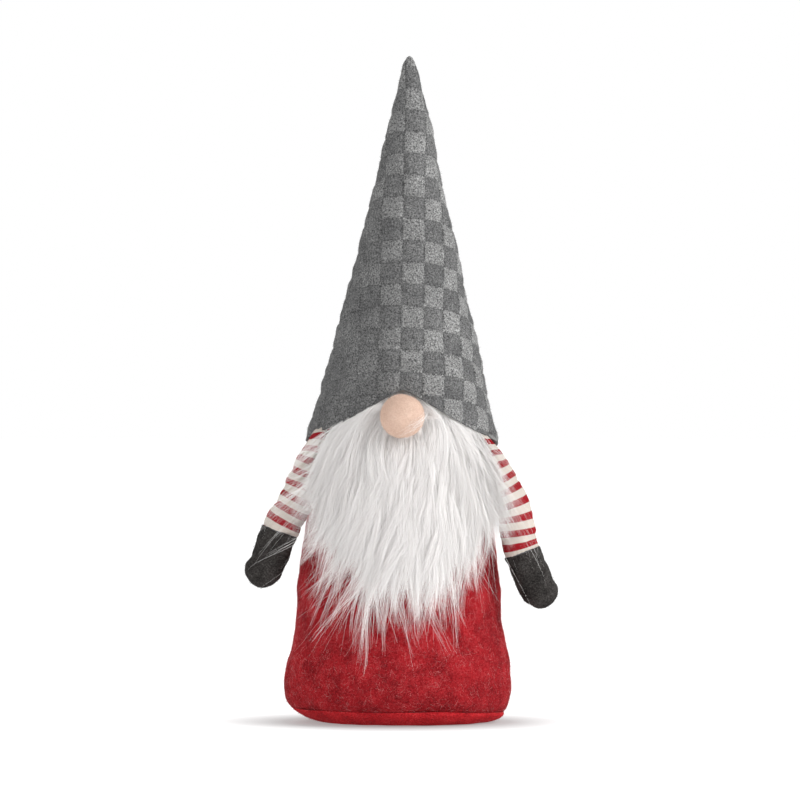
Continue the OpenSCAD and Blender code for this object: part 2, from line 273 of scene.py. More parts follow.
def softened(points, spare, pressure, limit, rows=28, cols=44):
    """Shapes a ring grid as its filling and its spare cloth do: a coarse copy is simulated, its moves are
    held within the limit, and the fine grid follows them smoothly."""
    fine_rows, fine_cols = points.shape[:2]
    at_row = np.linspace(0, fine_rows - 1, rows).round().astype(int)
    at_col = np.linspace(0, fine_cols, cols, endpoint=False).round().astype(int)
    coarse = points[np.ix_(at_row, at_col)]
    move = simulated(coarse, spare, pressure) - coarse
    size = np.linalg.norm(move, axis=2, keepdims=True)
    move = move * np.tanh(size / limit) * limit / np.maximum(size, 1e-9)
    ring = np.concatenate([move, move[:, :1]], 1)
    move = each_line(spread_out, ring, 1, np.append(at_col, fine_cols), fine_cols)
    move = each_line(spread_out, move, 0, at_row, fine_rows)
    move = each_line(rounded, move, 0, fine_rows // rows, False)
    return points + each_line(rounded, move, 1, fine_cols // cols, True)


def each_line(function, values, axis, *settings):
    """Values with a function done to each line of them along an axis."""
    return np.apply_along_axis(function, axis, values, *settings)


def spread_out(line, places, count):
    """A line of count values that passes straight between the given values at their places."""
    return np.interp(np.arange(count), places, line)


def rounded(line, step, closed):
    """A running mean over about one coarse cell, which takes the corners off straight interpolation."""
    around_ends = np.pad(line, step, mode="wrap" if closed else "edge")
    kernel = np.ones(2 * step + 1) / (2 * step + 1)
    return np.convolve(around_ends, kernel, mode="valid")


def thicken(obj, thickness):
    solidify = obj.modifiers.new("thickness", "SOLIDIFY")
    solidify.thickness = thickness
    solidify.offset = -1


def unit(v):
    return v / np.maximum(np.linalg.norm(v, axis=-1, keepdims=True), 1e-12)


def ribbons(name, paths, width, outward, twist, face_material=None):
    """Fine tapered hairs: one narrow strip along each path (strands, points, 3), facing outward apart from a
    twist in radians for each strand."""
    strands, count = paths.shape[:2]
    tangent = unit(np.gradient(paths, axis=1))
    side = unit(np.cross(tangent, outward))
    across = np.cross(tangent, side)
    turn = np.asarray(twist)[:, None, None]
    side = side * np.cos(turn) + across * np.sin(turn)
    half = side * (np.asarray(width) / 2)[..., None]
    pairs = np.stack([paths - half, paths + half], 2)[:, :-1]          # strand, point, side, xyz
    body = pairs.reshape(strands, -1, 3)
    vertices = np.concatenate([body, paths[:, -1:]], 1)
    per = vertices.shape[1]
    base = (np.arange(strands) * per)[:, None]
    k = np.arange(count - 2)[None] * 2
    quads = np.stack([base + k, base + k + 1, base + k + 3, base + k + 2], -1).reshape(-1, 4)
    last = base[:, 0] + 2 * (count - 2)
    tips = np.stack([last, last + 1, last + 2], 1)
    if face_material is not None:
        face_material = np.concatenate([np.repeat(face_material, count - 2), face_material])
    return new_object(name, vertices.reshape(-1, 3), [quads, tips], None, face_material)


def bend_at_fold(obj):
    """Bakes the piece's placement into its mesh; it does not bend the piece at the fold under the nose."""
    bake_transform(obj)


def set_piece(obj, body, slot, *materials, replaces=()):
    """Gives a piece its materials, the body it rides on and the CAD nodes it stands for; slot is not used. The
    beard as a body means that the piece's placement is baked into its mesh, and it rides on no body."""
    for material in materials:
        obj.data.materials.append(material)
    if body == BEARD:
        bend_at_fold(obj)
    else:
        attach(obj, body)
    if replaces:
        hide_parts(*replaces)
    return obj


# ---------------------------------------------------------------- materials


class Nodes:
    """Builds a material's node tree. A value that is a socket is linked, any other is set."""

    def __init__(self, name):
        self.material = bpy.data.materials.new(name)
        self.material.use_nodes = True
        self.tree = self.material.node_tree
        self.surface = self.tree.nodes["Principled BSDF"]

    def feed(self, socket, value):
        if isinstance(value, bpy.types.NodeSocket):
            self.tree.links.new(value, socket)
        elif socket.type == "RGBA" and len(value) == 3:
            socket.default_value = (*value, 1)
        else:
            socket.default_value = value

    def add(self, kind, inputs, output=0, **settings):
        node = self.tree.nodes.new("ShaderNode" + kind)
        for key, value in settings.items():
            setattr(node, key, value)
        for key, value in inputs.items():
            self.feed(node.inputs[key], value)
        return node.outputs[output]

    def set(self, **inputs):
        for key, value in inputs.items():
            self.feed(self.surface.inputs[key.replace("_", " ")], value)

    def maths(self, operation, a, b=0.0, c=0.0, clamp=False):
        return self.add("Math", {0: a, 1: b, 2: c}, operation=operation, use_clamp=clamp)

    def place(self):
        return self.add("TexCoord", {}, "Object")

    def axis(self, vector, index):
        return self.add("SeparateXYZ", {0: vector}, index)

    def noise(self, place, scale, detail=2.0, roughness=0.5):
        return self.add("TexNoise", {"Vector": place, "Scale": scale, "Detail": detail,
                                     "Roughness": roughness})

    def turned(self, place, rotation, scale):
        return self.add("Mapping", {"Vector": place, "Rotation": rotation, "Scale": scale})

    def range(self, value, low, high, to_low=0.0, to_high=1.0):
        return self.add("MapRange", {"Value": value, "From Min": low, "From Max": high, "To Min": to_low,
                                     "To Max": to_high})

    def mix(self, share, a, b, blend="MIX"):
        node = self.tree.nodes.new("ShaderNodeMix")
        node.data_type = "RGBA"
        node.blend_type = blend
        self.feed(node.inputs[0], share)
        self.feed(node.inputs[6], a)
        self.feed(node.inputs[7], b)
        return node.outputs[2]

    def finished(self, colour, height, relief, roughness, gloss=0.5):
        """The material, once it has its colour and a relief from a pattern of heights, 0 to 1."""
        bump = self.add("Bump", {"Height": height, "Distance": relief, "Strength": 1.0})
        self.set(Base_Color=colour, Normal=bump, Roughness=roughness, Specular_IOR_Level=gloss)
        return self.material


def fibre_pattern(n, place, length_scale, width_scale, turns):
    """Overlaid noise drawn out into short streaks in several directions, as in felt. About 0 to 1."""
    total = None
    for turn in turns:
        streaks = n.noise(n.turned(place, turn, (width_scale, length_scale, width_scale)), 1.0, 2.0)
        total = streaks if total is None else n.maths("MAXIMUM", total, streaks)
    return n.range(total, 0.42, 0.75)


FELT_TURNS = [(0.3, 0.2, 0.4), (1.1, 0.7, 1.9), (2.0, 1.4, 0.9), (0.6, 2.3, 2.8)]
WOOL = {"roughness": 0.95, "gloss": 0.06}


def felt(name, dark, mid, light, streak, mottle=0.6, relief=0.3 * MM):
    """Wool felt: a mottled ground with patches of lighter streaks of fibre."""
    n = Nodes(name)
    place = n.place()
    patches = n.noise(place, 60, 5.0, 0.65)
    grain = n.noise(place, 900, 3.0, 0.65)
    fibres = fibre_pattern(n, place, 160, 900, FELT_TURNS)
    tone = n.maths("MULTIPLY_ADD", patches, mottle, n.maths("MULTIPLY", grain, 1 - mottle))
    ground = n.mix(n.range(tone, 0.38, 0.62), dark, mid)
    bright = n.maths("MULTIPLY", n.range(patches, 0.4, 0.7, 0.3, 1.0),
                     n.range(grain, 0.4, 0.75, 0.0, streak))
    colour = n.mix(n.maths("MULTIPLY", fibres, bright), ground, light)
    return n.finished(colour, n.maths("ADD", fibres, grain), relief, **WOOL)


def woven_edge(n, uv):
    """Distance to the nearest edge of a woven square, as a share of the square."""
    nearest_edge = None
    for index in (0, 1):
        middle = n.maths("ABSOLUTE", n.maths("SUBTRACT", n.maths("FRACT", n.axis(uv, index)), 0.5))
        distance = n.maths("SUBTRACT", 0.5, middle)
        nearest_edge = distance if nearest_edge is None else n.maths("MINIMUM", nearest_edge, distance)
    return nearest_edge


def hat_felt():
    """Grey wool felt woven in wide flat squares. The squares of one direction are lighter than the others, and the
    difference is painted light: strongest on the gnome's left, where the key light falls, and fading towards its
    right."""
    n = Nodes("hat_wool")
    place = n.place()
    uv = n.add("UVMap", {}, uv_map="UVMap")
    # fine noise blurs the squares' edges; the last share keeps the pattern's third place inside one cell
    scatter = n.add("TexNoise", {"Vector": place, "Scale": 700, "Detail": 2.0}, 1)
    blur = n.add("VectorMath", {0: scatter, 3: 0.14}, operation="SCALE")
    uv = n.add("VectorMath", {0: uv, 1: n.add("VectorMath", {0: blur, 1: (0.07, 0.07, -0.5)},
                                              operation="SUBTRACT")}, operation="ADD")
    square = n.add("TexChecker", {"Vector": uv, "Color1": (0, 0, 0), "Color2": (1, 1, 1), "Scale": 1.0})
    patches = n.noise(place, 40, 3.0, 0.6)
    grain = n.noise(place, 880, 3.0, 0.75)
    fibres = fibre_pattern(n, place, 170, 860, FELT_TURNS)
    # painted light: how much lighter the squares are follows the key light, from the gnome's left to its right
    leftwards = n.maths("ADD", n.axis(place, 0), n.maths("MULTIPLY", patches, 0.03))
    painted_light_contrast = n.range(leftwards, -0.02, 0.055, 0.03, 0.64)
    share = n.maths("MULTIPLY_ADD", square, painted_light_contrast, n.range(patches, 0.3, 0.7, 0.03, 0.38), clamp=True)
    ground = n.mix(share, (0.080, 0.080, 0.081), (0.235, 0.235, 0.232))
    pale = n.mix(share, (0.235, 0.235, 0.235), (0.64, 0.64, 0.63))
    deep = n.mix(n.range(grain, 0.36, 0.56), (0.052, 0.052, 0.053), ground)
    # painted shade: a dark line along the squares' edges, where the strips dip under their neighbours
    deep = n.mix(n.range(woven_edge(n, uv), 0.0, 0.07, 0.45, 0.0), deep, (0.03, 0.03, 0.031))
    streaks = n.maths("MULTIPLY", fibres, n.range(grain, 0.40, 0.68, 0.0, 1.0))
    return n.finished(n.mix(streaks, deep, pale), n.maths("ADD", fibres, grain), 0.4 * MM, **WOOL)


def jersey(name, first_red, pitch, red_width=4.9 * MM, wale=1.25 * MM, course=0.7 * MM):
    """Knitted jersey in stripes. UV runs in metres: U round the sleeve, V up from the cuff, and the first
    red stripe starts first_red above the cuff."""
    n = Nodes(name)
    uv = n.add("UVMap", {}, uv_map="UVMap")
    u = n.maths("DIVIDE", n.axis(uv, 0), wale)
    v = n.maths("DIVIDE", n.axis(uv, 1), course)
    leg = n.maths("ABSOLUTE", n.maths("SUBTRACT", n.maths("FRACT", u), 0.5))    # 0 in the wale, 0.5 between
    slanted = n.maths("ADD", v, n.maths("MULTIPLY", leg, 1.3))
    row = n.maths("FLOOR", slanted)
    above_red = n.maths("SUBTRACT", n.maths("MULTIPLY", row, course), first_red)
    phase = n.maths("FRACT", n.maths("DIVIDE", above_red, pitch))
    is_red = n.maths("LESS_THAN", phase, red_width / pitch)
    within = n.maths("SINE", n.maths("MULTIPLY", n.maths("FRACT", slanted), math.pi))
    column = n.maths("SINE", n.maths("MULTIPLY", n.maths("FRACT", n.maths("MULTIPLY", u, 2.0)), math.pi))
    loop = n.maths("MULTIPLY", within, column)
    place = n.place()
    fuzz = n.noise(place, 1500, 3.0, 0.7)
    red = n.mix(fuzz, (0.30, 0.006, 0.012), (0.52, 0.02, 0.03))
    cream = n.mix(fuzz, (0.76, 0.67, 0.59), (0.92, 0.86, 0.79))
    yarn = n.mix(is_red, cream, red)
    # painted shade in the gaps between the knit's loops
    shade = n.mix(n.range(loop, 0.0, 0.45, 0.0, 1.0), (0.55, 0.5, 0.48), (1, 1, 1))
    height = n.maths("ADD", loop, n.maths("MULTIPLY", fuzz, 0.3))
    return n.finished(n.mix(0.75, yarn, shade, "MULTIPLY"), height, 0.35 * MM, roughness=0.9, gloss=0.1)


def plain_fibre(name, colour, roughness=0.55, specular=0.1):
    """One colour for hairs and threads, whose look comes from their number and their slight differences."""
    n = Nodes(name)
    n.set(Base_Color=colour, Roughness=roughness, Specular_IOR_Level=specular)
    return n.material


def mottled(name, dark, light, scale, relief, roughness=0.85):
    n = Nodes(name)
    pattern = n.noise(n.place(), scale, 4.0, 0.6)
    return n.finished(n.mix(n.range(pattern, 0.3, 0.7), dark, light), pattern, relief, roughness)


def pellets():
    n = Nodes("pellets")
    cells = n.add("TexVoronoi", {"Vector": n.place(), "Scale": 260})
    # painted shade: each pellet is white in its middle and greyer towards the gaps between pellets
    return n.finished(n.mix(cells, (0.9, 0.9, 0.88), (0.5, 0.5, 0.5)), cells, -2 * MM, roughness=0.4)


robe_wool = felt("robe_wool", (0.125, 0.004, 0.0065), (0.36, 0.008, 0.0125), (0.57, 0.085, 0.095), 0.9,
                 mottle=0.48)
# painted light: the base is the same red felt as the robe, made lighter to stand for the light thrown up onto it
# from the floor
base_wool = felt("base_wool", (0.24, 0.007, 0.011), (0.60, 0.014, 0.020), (0.72, 0.11, 0.12), 0.9,
                 mottle=0.42)
mitten_wool = felt("mitten_wool", (0.010, 0.009, 0.0085), (0.038, 0.034, 0.032), (0.17, 0.16, 0.155), 0.9)
nose_wool = felt("nose_wool", (0.60, 0.415, 0.325), (0.72, 0.522, 0.418), (0.82, 0.69, 0.60), 0.9,
                 relief=0.5 * MM)
hat_wool = hat_felt()
right_knit = jersey("right_sleeve_knit", first_red=6.1 * MM, pitch=9.9 * MM)
left_knit = jersey("left_sleeve_knit", first_red=3.6 * MM, pitch=10.3 * MM)
fur_white = plain_fibre("fur_white", (0.90, 0.885, 0.875), specular=0.25)
fur_ivory = plain_fibre("fur_ivory", (0.87, 0.845, 0.825), specular=0.25)
# painted shade: a greyer, lilac copy of the white fur, given to some hairs at random to stand for the shading
# among the locks
fur_painted_shade = plain_fibre("fur_painted_shade", (0.83, 0.80, 0.80), specular=0.25)
underfur = mottled("underfur", (0.76, 0.73, 0.72), (0.88, 0.86, 0.85), 600, 0.8 * MM)
FUR_COLOURS = (fur_white, fur_ivory, fur_painted_shade)
backing_cloth = mottled("backing_cloth", (0.62, 0.58, 0.52), (0.8, 0.77, 0.71), 1500, 0.3 * MM)
grey_fuzz = plain_fibre("grey_fuzz", (0.24, 0.24, 0.24), 0.8)
dark_fuzz = plain_fibre("dark_fuzz", (0.07, 0.07, 0.07), 0.8)
coal_fuzz = plain_fibre("coal_fuzz", (0.04, 0.036, 0.035), 0.8)
ash_fuzz = plain_fibre("ash_fuzz", (0.12, 0.115, 0.11), 0.8)
red_fuzz = plain_fibre("red_fuzz", (0.42, 0.018, 0.028), 0.8)
pink_fuzz = plain_fibre("pink_fuzz", (0.58, 0.12, 0.13), 0.7)
pale_fuzz = plain_fibre("pale_fuzz", (0.68, 0.32, 0.31), 0.7)
peach_fuzz = plain_fibre("peach_fuzz", (0.76, 0.58, 0.48), 0.7)
fibrefill = mottled("fibrefill", (0.78, 0.78, 0.76), (0.95, 0.95, 0.93), 300, 1.0 * MM)
cotton = mottled("cotton", (0.72, 0.68, 0.6), (0.86, 0.83, 0.76), 1800, 0.2 * MM)
board = mottled("board", (0.46, 0.33, 0.2), (0.62, 0.48, 0.32), 200, 0.1 * MM)
red_thread = mottled("red_thread", (0.11, 0.004, 0.007), (0.24, 0.01, 0.015), 2500, 0.1 * MM)
grey_thread = mottled("grey_thread", (0.04, 0.04, 0.045), (0.12, 0.12, 0.125), 2500, 0.1 * MM)
light_thread = mottled("light_thread", (0.7, 0.66, 0.6), (0.88, 0.85, 0.8), 2500, 0.1 * MM)

# ---------------------------------------------------------------- robe and base


def seam_drop(angle):
    """How far the bottom seam hangs below its even height: the foot is sewn on a little unevenly."""
    return 1.3 * MM + 3.3 * MM * np.maximum(np.sin(angle), 0) ** 3


def robe():
    heights = np.concatenate([np.linspace(SEAM_Z + 0.4 * MM, SEAM_Z + 9 * MM, 12),
                              np.linspace(SEAM_Z + 10.5 * MM, NECK_Z, 110),
                              np.linspace(NECK_Z, robe_high.z, 30)[1:-1]])
    angle = ring_angles(300)
    z = heights[:, None]
    flat = around(angle[None], robe_radius(z), z)
    radius = robe_radius(z) + 0 * angle[None]
    above = np.maximum(z - SEAM_Z, 0)
    # soft unevenness, with puckers and a groove where the bottom seam draws the cloth in
    radius = radius + 1.0 * MM * wobble(flat, 70 * MM, 1) + 0.35 * MM * wobble(flat, 20 * MM, 2)
    puckers = np.sin(angle * 47 + 3 * wobble(flat, 60 * MM, 3))
    radius = radius + 0.30 * MM * puckers * np.exp(-above / (4 * MM))
    radius = radius - 0.7 * MM * np.exp(-(above / (1.2 * MM)) ** 1.5)
    # the centre-back seam, with its own groove and a pucker at each pair of stitches
    arc = np.abs((angle - math.pi)[None]) * radius
    radius = radius - 2.0 * MM * np.exp(-(arc / (2.0 * MM)) ** 2) * (z < NECK_Z + 30 * MM)
    radius = radius + 0.4 * MM * np.sin(z / (8 * MM) * FULL_TURN) * np.exp(-(arc / (7 * MM)) ** 2)
    outer = softened(around(angle[None], radius, z), spare=0.008, pressure=6, limit=1.2 * MM,
                     rows=34, cols=60)
    # under the outer face the cloth turns in along the bottom seam
    lips = [(-8 * MM, 0.5 * MM), (-3 * MM, 0.1 * MM), (-1.0 * MM, 0.1 * MM)]
    rows = [around(angle, radius[0] + dr, np.full_like(angle, SEAM_Z + dz)) for dr, dz in lips]
    points = np.concatenate([np.stack(rows), outer])
    # the body stands a little towards the gnome's left, and its foot is sewn on unevenly
    height = points[..., 2].copy()
    points[..., 0] += 0.5 * MM + 0.9 * MM * np.clip((height - HIP_Z) / (30 * MM), 0, 1)
    points[..., 2] -= seam_drop(angle) * np.exp(-np.maximum(height - SEAM_Z, 0) / (14 * MM))
    obj = grid_object("robe", points, cap_end=True)
    thicken(obj, ROBE_THICK)
    return set_piece(obj, "torso", "robe_felt", robe_wool, replaces=("robe_shell",))


def base():
    rim = bezier([(FOOT_R, 0), (FOOT_R + 6 * MM, 0), (SEAM_R - 0.9 * MM, SEAM_Z - 5.2 * MM),
                  (SEAM_R + 0.2 * MM, SEAM_Z - 0.35 * MM)], 18)
    flat = np.stack([np.linspace(2 * MM, FOOT_R, 26), np.zeros(26)], 1)[:-1]
    lip = np.array([(SEAM_R - 0.8 * MM, SEAM_Z - 0.05 * MM), (SEAM_R - 8 * MM, SEAM_Z - 0.2 * MM)])
    profile = np.concatenate([flat, rim, lip])
    angle = ring_angles(300)
    points = around(angle[None], profile[:, :1], profile[:, 1:])
    share = profile[:, 1:] / SEAM_Z
    # the foot is pressed out a little further under the gnome's left side
    pressed = (1.5 * MM + 5 * MM * np.sin(angle)) / FOOT_R
    points[..., :2] *= (1 + pressed * (1 - share) * np.clip(profile[:, :1] / FOOT_R, 0, 1))[..., None]
    points[..., 2] -= seam_drop(angle) * share
    lift = 0.5 * MM * wobble(points, 40 * MM, 5) * np.clip(profile[:, 1:] / (4 * MM), 0, 1)
    points[..., :2] *= (1 + lift / SEAM_R * np.ones_like(angle))[..., None]
    points[..., 2] += 0.15 * MM * (1 + wobble(points, 25 * MM, 6))
    obj = grid_object("base", points, cap_start=True)
    thicken(obj, ROBE_THICK)
    return set_piece(obj, "torso", "robe_felt", base_wool, replaces=("base_panel",))


def stitches(name, points, directions, body, slot, material, replaces, length=3.0 * MM, thick=0.55 * MM):
    """A row of short thread stitches: a small six-sided spindle at each point, along its direction."""
    ring = ring_angles(6)
    along = np.linspace(-0.5, 0.5, 6)
    shape = thick / 2 * np.sqrt(np.maximum(1 - (2 * along) ** 4, 0.02))
    direction = unit(np.asarray(directions, float))
    helper = unit(np.cross(direction, [0.31, 0.17, 0.93]))
    other = np.cross(direction, helper)
    centre = np.asarray(points, float)[:, None, None]
    vertices = (centre + direction[:, None, None] * (along * length)[None, :, None, None]
                + (helper[:, None, None] * np.cos(ring)[None, None, :, None]
                   + other[:, None, None] * np.sin(ring)[None, None, :, None]) * shape[None, :, None, None])
    rows, cols = len(along), len(ring)
    one = grid_quads(grid_corners(rows, cols), cols)
    ends = np.array([np.arange(cols)[::-1], (rows - 1) * cols + np.arange(cols)])
    first = (np.arange(len(points)) * rows * cols)[:, None, None]
    quads = (first + one[None]).reshape(-1, 4)
    caps = (first + ends[None]).reshape(-1, cols)
    obj = new_object(name, vertices.reshape(-1, 3), [quads, caps])
    return set_piece(obj, body, slot, material, replaces=replaces)


def base_seam_stitches():
    count = 112
    angle = ring_angles(count)
    points = around(angle, SEAM_R - 0.9 * MM, SEAM_Z - seam_drop(angle))
    directions = np.stack([np.cos(angle), np.sin(angle), 0.06 * np.cos(angle * 56)], 1)
    stitches("base_seam_stitches", points, directions, "torso", "robe_thread", red_thread,
             ("base_seam_thread",))


def back_seam_stitches():
    z = np.arange(SEAM_Z + 6 * MM, BRIM_Z - 2 * MM, 5 * MM)
    points = np.stack([0 * z, robe_radius(z) - 1.2 * MM, z], 1)
    directions = np.stack([0 * z + 0.15, 0 * z, 0 * z + 1], 1)
    stitches("robe_back_stitches", points, directions, "torso", "robe_thread", red_thread,
             ("robe_back_thread",))


def lumpy_rings(radius, height, cols, lumps, seed):
    """Rings of points for a round body of loose filling with soft lumps."""
    angle = ring_angles(cols)[None]
    radius, height = np.maximum(radius, 1 * MM)[:, None], height[:, None]
    return around(angle, radius + lumps * wobble(around(angle, radius, height), 25 * MM, seed), height)


def body_filling():
    """The loose filling of the robe and head, just inside their cloth."""
    pouch_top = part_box("weight_pouch")[1].z
    z = np.concatenate([np.linspace(pouch_top + 1 * MM, NECK_Z, 60),
                        np.linspace(NECK_Z, robe_high.z - 5 * MM, 30)[1:]])
    points = lumpy_rings(robe_radius(z) - 5.5 * MM, z, 120, 0.6 * MM, 8)
    obj = grid_object("body_filling", points, cap_start=True, cap_end=True)
    set_piece(obj, "torso", "stuffing", fibrefill, replaces=("body_stuffing",))


# ---------------------------------------------------------------- hat


def weave_relief(u, v):
    """Height, 0 to 1, of a plain weave of wide flat strips: each square shows the strip that lies on top,
    which dips under its neighbours at its ends and keeps an edge at its sides."""
    i, j = np.floor(u), np.floor(v)
    a, b = u - i - 0.5, v - j - 0.5
    upright = (i + j) % 2 == 0
    along = np.where(upright, b, a)
    across = np.where(upright, a, b)
    return np.cos(math.pi * along * 0.92) * (1 - 0.35 * np.abs(2 * across) ** 6)


def woven_place(angle, h):
    """Where points of the hat lie on its flat-cut cloth, counted in woven squares."""
    knee_r, knee_share = HAT_OUTLINE[2]                     # the sides are straight up to here
    half_angle = math.atan((BRIM_R - knee_r) / (knee_share * HAT_H))
    apex = BRIM_R / math.tan(half_angle)                    # height at which the straight sides would meet
    slant = (apex - h) / math.cos(half_angle)
    turn = angle[None] * math.sin(half_angle)
    u = (slant * np.sin(turn) + WEAVE_SHIFT[0]) / WEAVE_U
    v = (slant * np.cos(turn) - WEAVE_SHIFT[1]) / WEAVE_V
    return u, v


def hat_hem(angle, low, relief):
    """The hat's edge turns under and the hem goes back up inside, row by row from its end to the edge."""
    rows = []
    for drop, inwards in ((-0.7, 0.8), (-1.0, 1.8), (-0.4, 2.8), (2.5, 3.3), (9.0, 3.9)):
        rim = low + drop * MM
        rows.append(around(angle, hat_radius(low) + relief - inwards * MM - 0.25 * (drop * MM), rim))
    return np.stack(rows[::-1])


def hat():
    cols, rows = 400, 240
    angle = np.linspace(-math.pi, math.pi, cols, endpoint=False) + math.pi / cols
    low = brim_edge(angle)
    t = np.linspace(0, 1, rows)[:, None]
    top = HAT_H + 0.8 * MM
    h = low + (top - low) * t
    point = np.clip((h - top + POINT_R) / POINT_R, 0, 0.97)
    slim = np.clip(h / (60 * MM), 0, 1) * np.clip((top - h) / (30 * MM), 0, 1)
    radius = (hat_radius(h) - 0.7 * MM - 1.5 * MM * slim) * np.sqrt(1 - point ** 2)
    fade = np.clip((radius - 6 * MM) / (12 * MM), 0, 1)     # no weave shows near the point
    flat = around(angle[None], radius, h)
    relief = 1.5 * MM * weave_relief(*woven_place(angle, h)) * fade
    relief = relief + 0.8 * MM * wobble(flat, 45 * MM, 11) + 0.25 * MM * wobble(flat, 9 * MM, 12)
    arc = np.minimum(np.abs(angle - math.pi), np.abs(angle + math.pi))[None] * radius
    relief = relief - 1.6 * MM * np.exp(-(arc / (1.8 * MM)) ** 2)
    near_brim = np.exp(-((h - low) / (3.5 * MM)) ** 2)
    relief = relief - 0.6 * MM * near_brim
    outer = around(angle[None], radius + relief, h)
    outer[..., 0] += 1.0 * MM * slim
    hem = hat_hem(angle, low, relief[0])
    points = np.concatenate([hem, outer])
    edge = np.linspace(-math.pi, math.pi, cols + 1)
    edge_low = brim_edge(edge)
    uv = np.stack(woven_place(edge, edge_low + (top - edge_low) * t), -1) + 50      # all above 0
    uv = np.concatenate([np.repeat(uv[:1], len(hem), 0), uv])
    obj = grid_object("hat", transformed(points, HAT_FRAME), uv, cap_end=True)
    return set_piece(obj, "torso", "hat_felt", hat_wool, replaces=("hat_shell",))


def hat_filling():
    """The loose filling that keeps the hat's point up, over the top of the head."""
    low = robe_high.z - BRIM_Z + 2 * MM
    h = np.linspace(low, HAT_H - 8 * MM, 60)
    points = transformed(lumpy_rings(hat_radius(h) - 6 * MM, h, 80, 0.5 * MM, 13), HAT_FRAME)
    obj = grid_object("hat_filling", points, cap_start=True, cap_end=True)
    set_piece(obj, "torso", "stuffing", fibrefill, replaces=("hat_stuffing",))


def hat_back_stitches():
    h = np.arange(8 * MM, 0.8 * HAT_H, 6 * MM)
    points = transformed(np.stack([0 * h + 1 * MM, hat_radius(h) - 3.1 * MM, h], 1), HAT_FRAME)
    directions = np.stack([0 * h + 0.2, 0 * h - 0.2, 0 * h + 1], 1)
    stitches("hat_back_stitches", points, directions, "torso", "hat_thread", grey_thread,
             ("hat_back_thread",))


# ---------------------------------------------------------------- nose


def nose():
    rows, cols = 90, 120
    polar = np.linspace(0.02, math.pi - 0.02, rows)[:, None]
    angle = ring_angles(cols)[None]
    ring = np.sin(polar)
    direction = np.stack([ring * np.cos(angle), np.cos(polar) + 0 * angle, ring * np.sin(angle)], -1)
    radius = NOSE_R * (1 + 0.012 * wobble(direction, 1.1, 21) + 0.006 * wobble(direction, 0.3, 22))
    gather = np.exp(-(polar / 0.35) ** 2)
    radius = radius * (1 - 0.10 * gather - 0.02 * gather * np.cos(9 * angle))
    points = direction * radius[..., None] * np.array([0.98, 0.96, 0.965]) + np.array(NOSE)
    points[..., 2] -= 1.2 * MM
    inside = np.array(NOSE) + (points - np.array(NOSE)) * 0.88
    filling = grid_object("nose_filling", inside, cap_start=True, cap_end=True)
    set_piece(filling, "torso", "stuffing", fibrefill, replaces=("nose_stuffing",))
    obj = grid_object("nose", points, cap_start=True, cap_end=True)
    return set_piece(obj, "torso", "nose_felt", nose_wool, replaces=("nose_cover",))


# ---------------------------------------------------------------- arms

SLEEVE_TOP_R = 11 * MM
CUFF_R = 13.4 * MM
RING_SAG = 0.9 * MM                  # how much lower the stripes hang in front of the arm than on its axis
KNIT_R = 13 * MM                     # sleeve radius at which the knit's loops have their true width
MITTEN_R = 14 * MM
MITTEN_L = 44.5 * MM                 # from the cuff to the tip
ARM_FLAT = 0.94                      # depth of a mitten as a share of its width


class Arm:
    """Where an arm hangs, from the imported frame: its shoulder, its direction, and its lengths."""

    def __init__(self, side, bow, shift):
        self.side = side
        joint = next(j for j in frame["joints"] if j["name"] == f"{side}_arm_raise")
        self.pivot = Vector(joint["pos_m"])
        low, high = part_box(f"{side}_mitten")
        middle = (low + high) / 2
        run = middle - self.pivot
        self.tilt = math.atan2(run.x, -run.z)
        self.frame = Matrix.Translation(self.pivot) @ Matrix.Rotation(-self.tilt, 4, "Y")
        cuff = self.frame.inverted() @ Vector(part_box(f"{side}_cuff_thread")[0].lerp(
            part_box(f"{side}_cuff_thread")[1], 0.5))
        self.cuff = -cuff.z
        self.tip = self.cuff + MITTEN_L
        self.bow = bow                       # how far the sleeve bows away from the body half way down
        self.shift = shift                   # how far it lies further out than its joint at the shoulder
        self.sign = -1 if side == "right" else 1

    def place(self, points):
        """From the arm's own frame, hanging along -Z, to the row frame, with the sleeve's slight bow."""
        points = points.copy()
        step = 0.1 * MM
        down = -points[..., 2]
        aside = self.course(down)
        slope = (self.course(down + step) - aside) / step
        points[..., 2] += self.sign * slope * points[..., 0]
        points[..., 0] += self.sign * aside
        return transformed(points, self.frame)

    def course(self, down):
        """How far out the sleeve's middle lies at a distance down the arm."""
        share = np.clip(down / self.cuff, 0, 1)
        late = share ** 2
        return self.bow * np.sin(math.pi * share) ** 2 + self.shift * (1 - late * late * (3 - 2 * late))


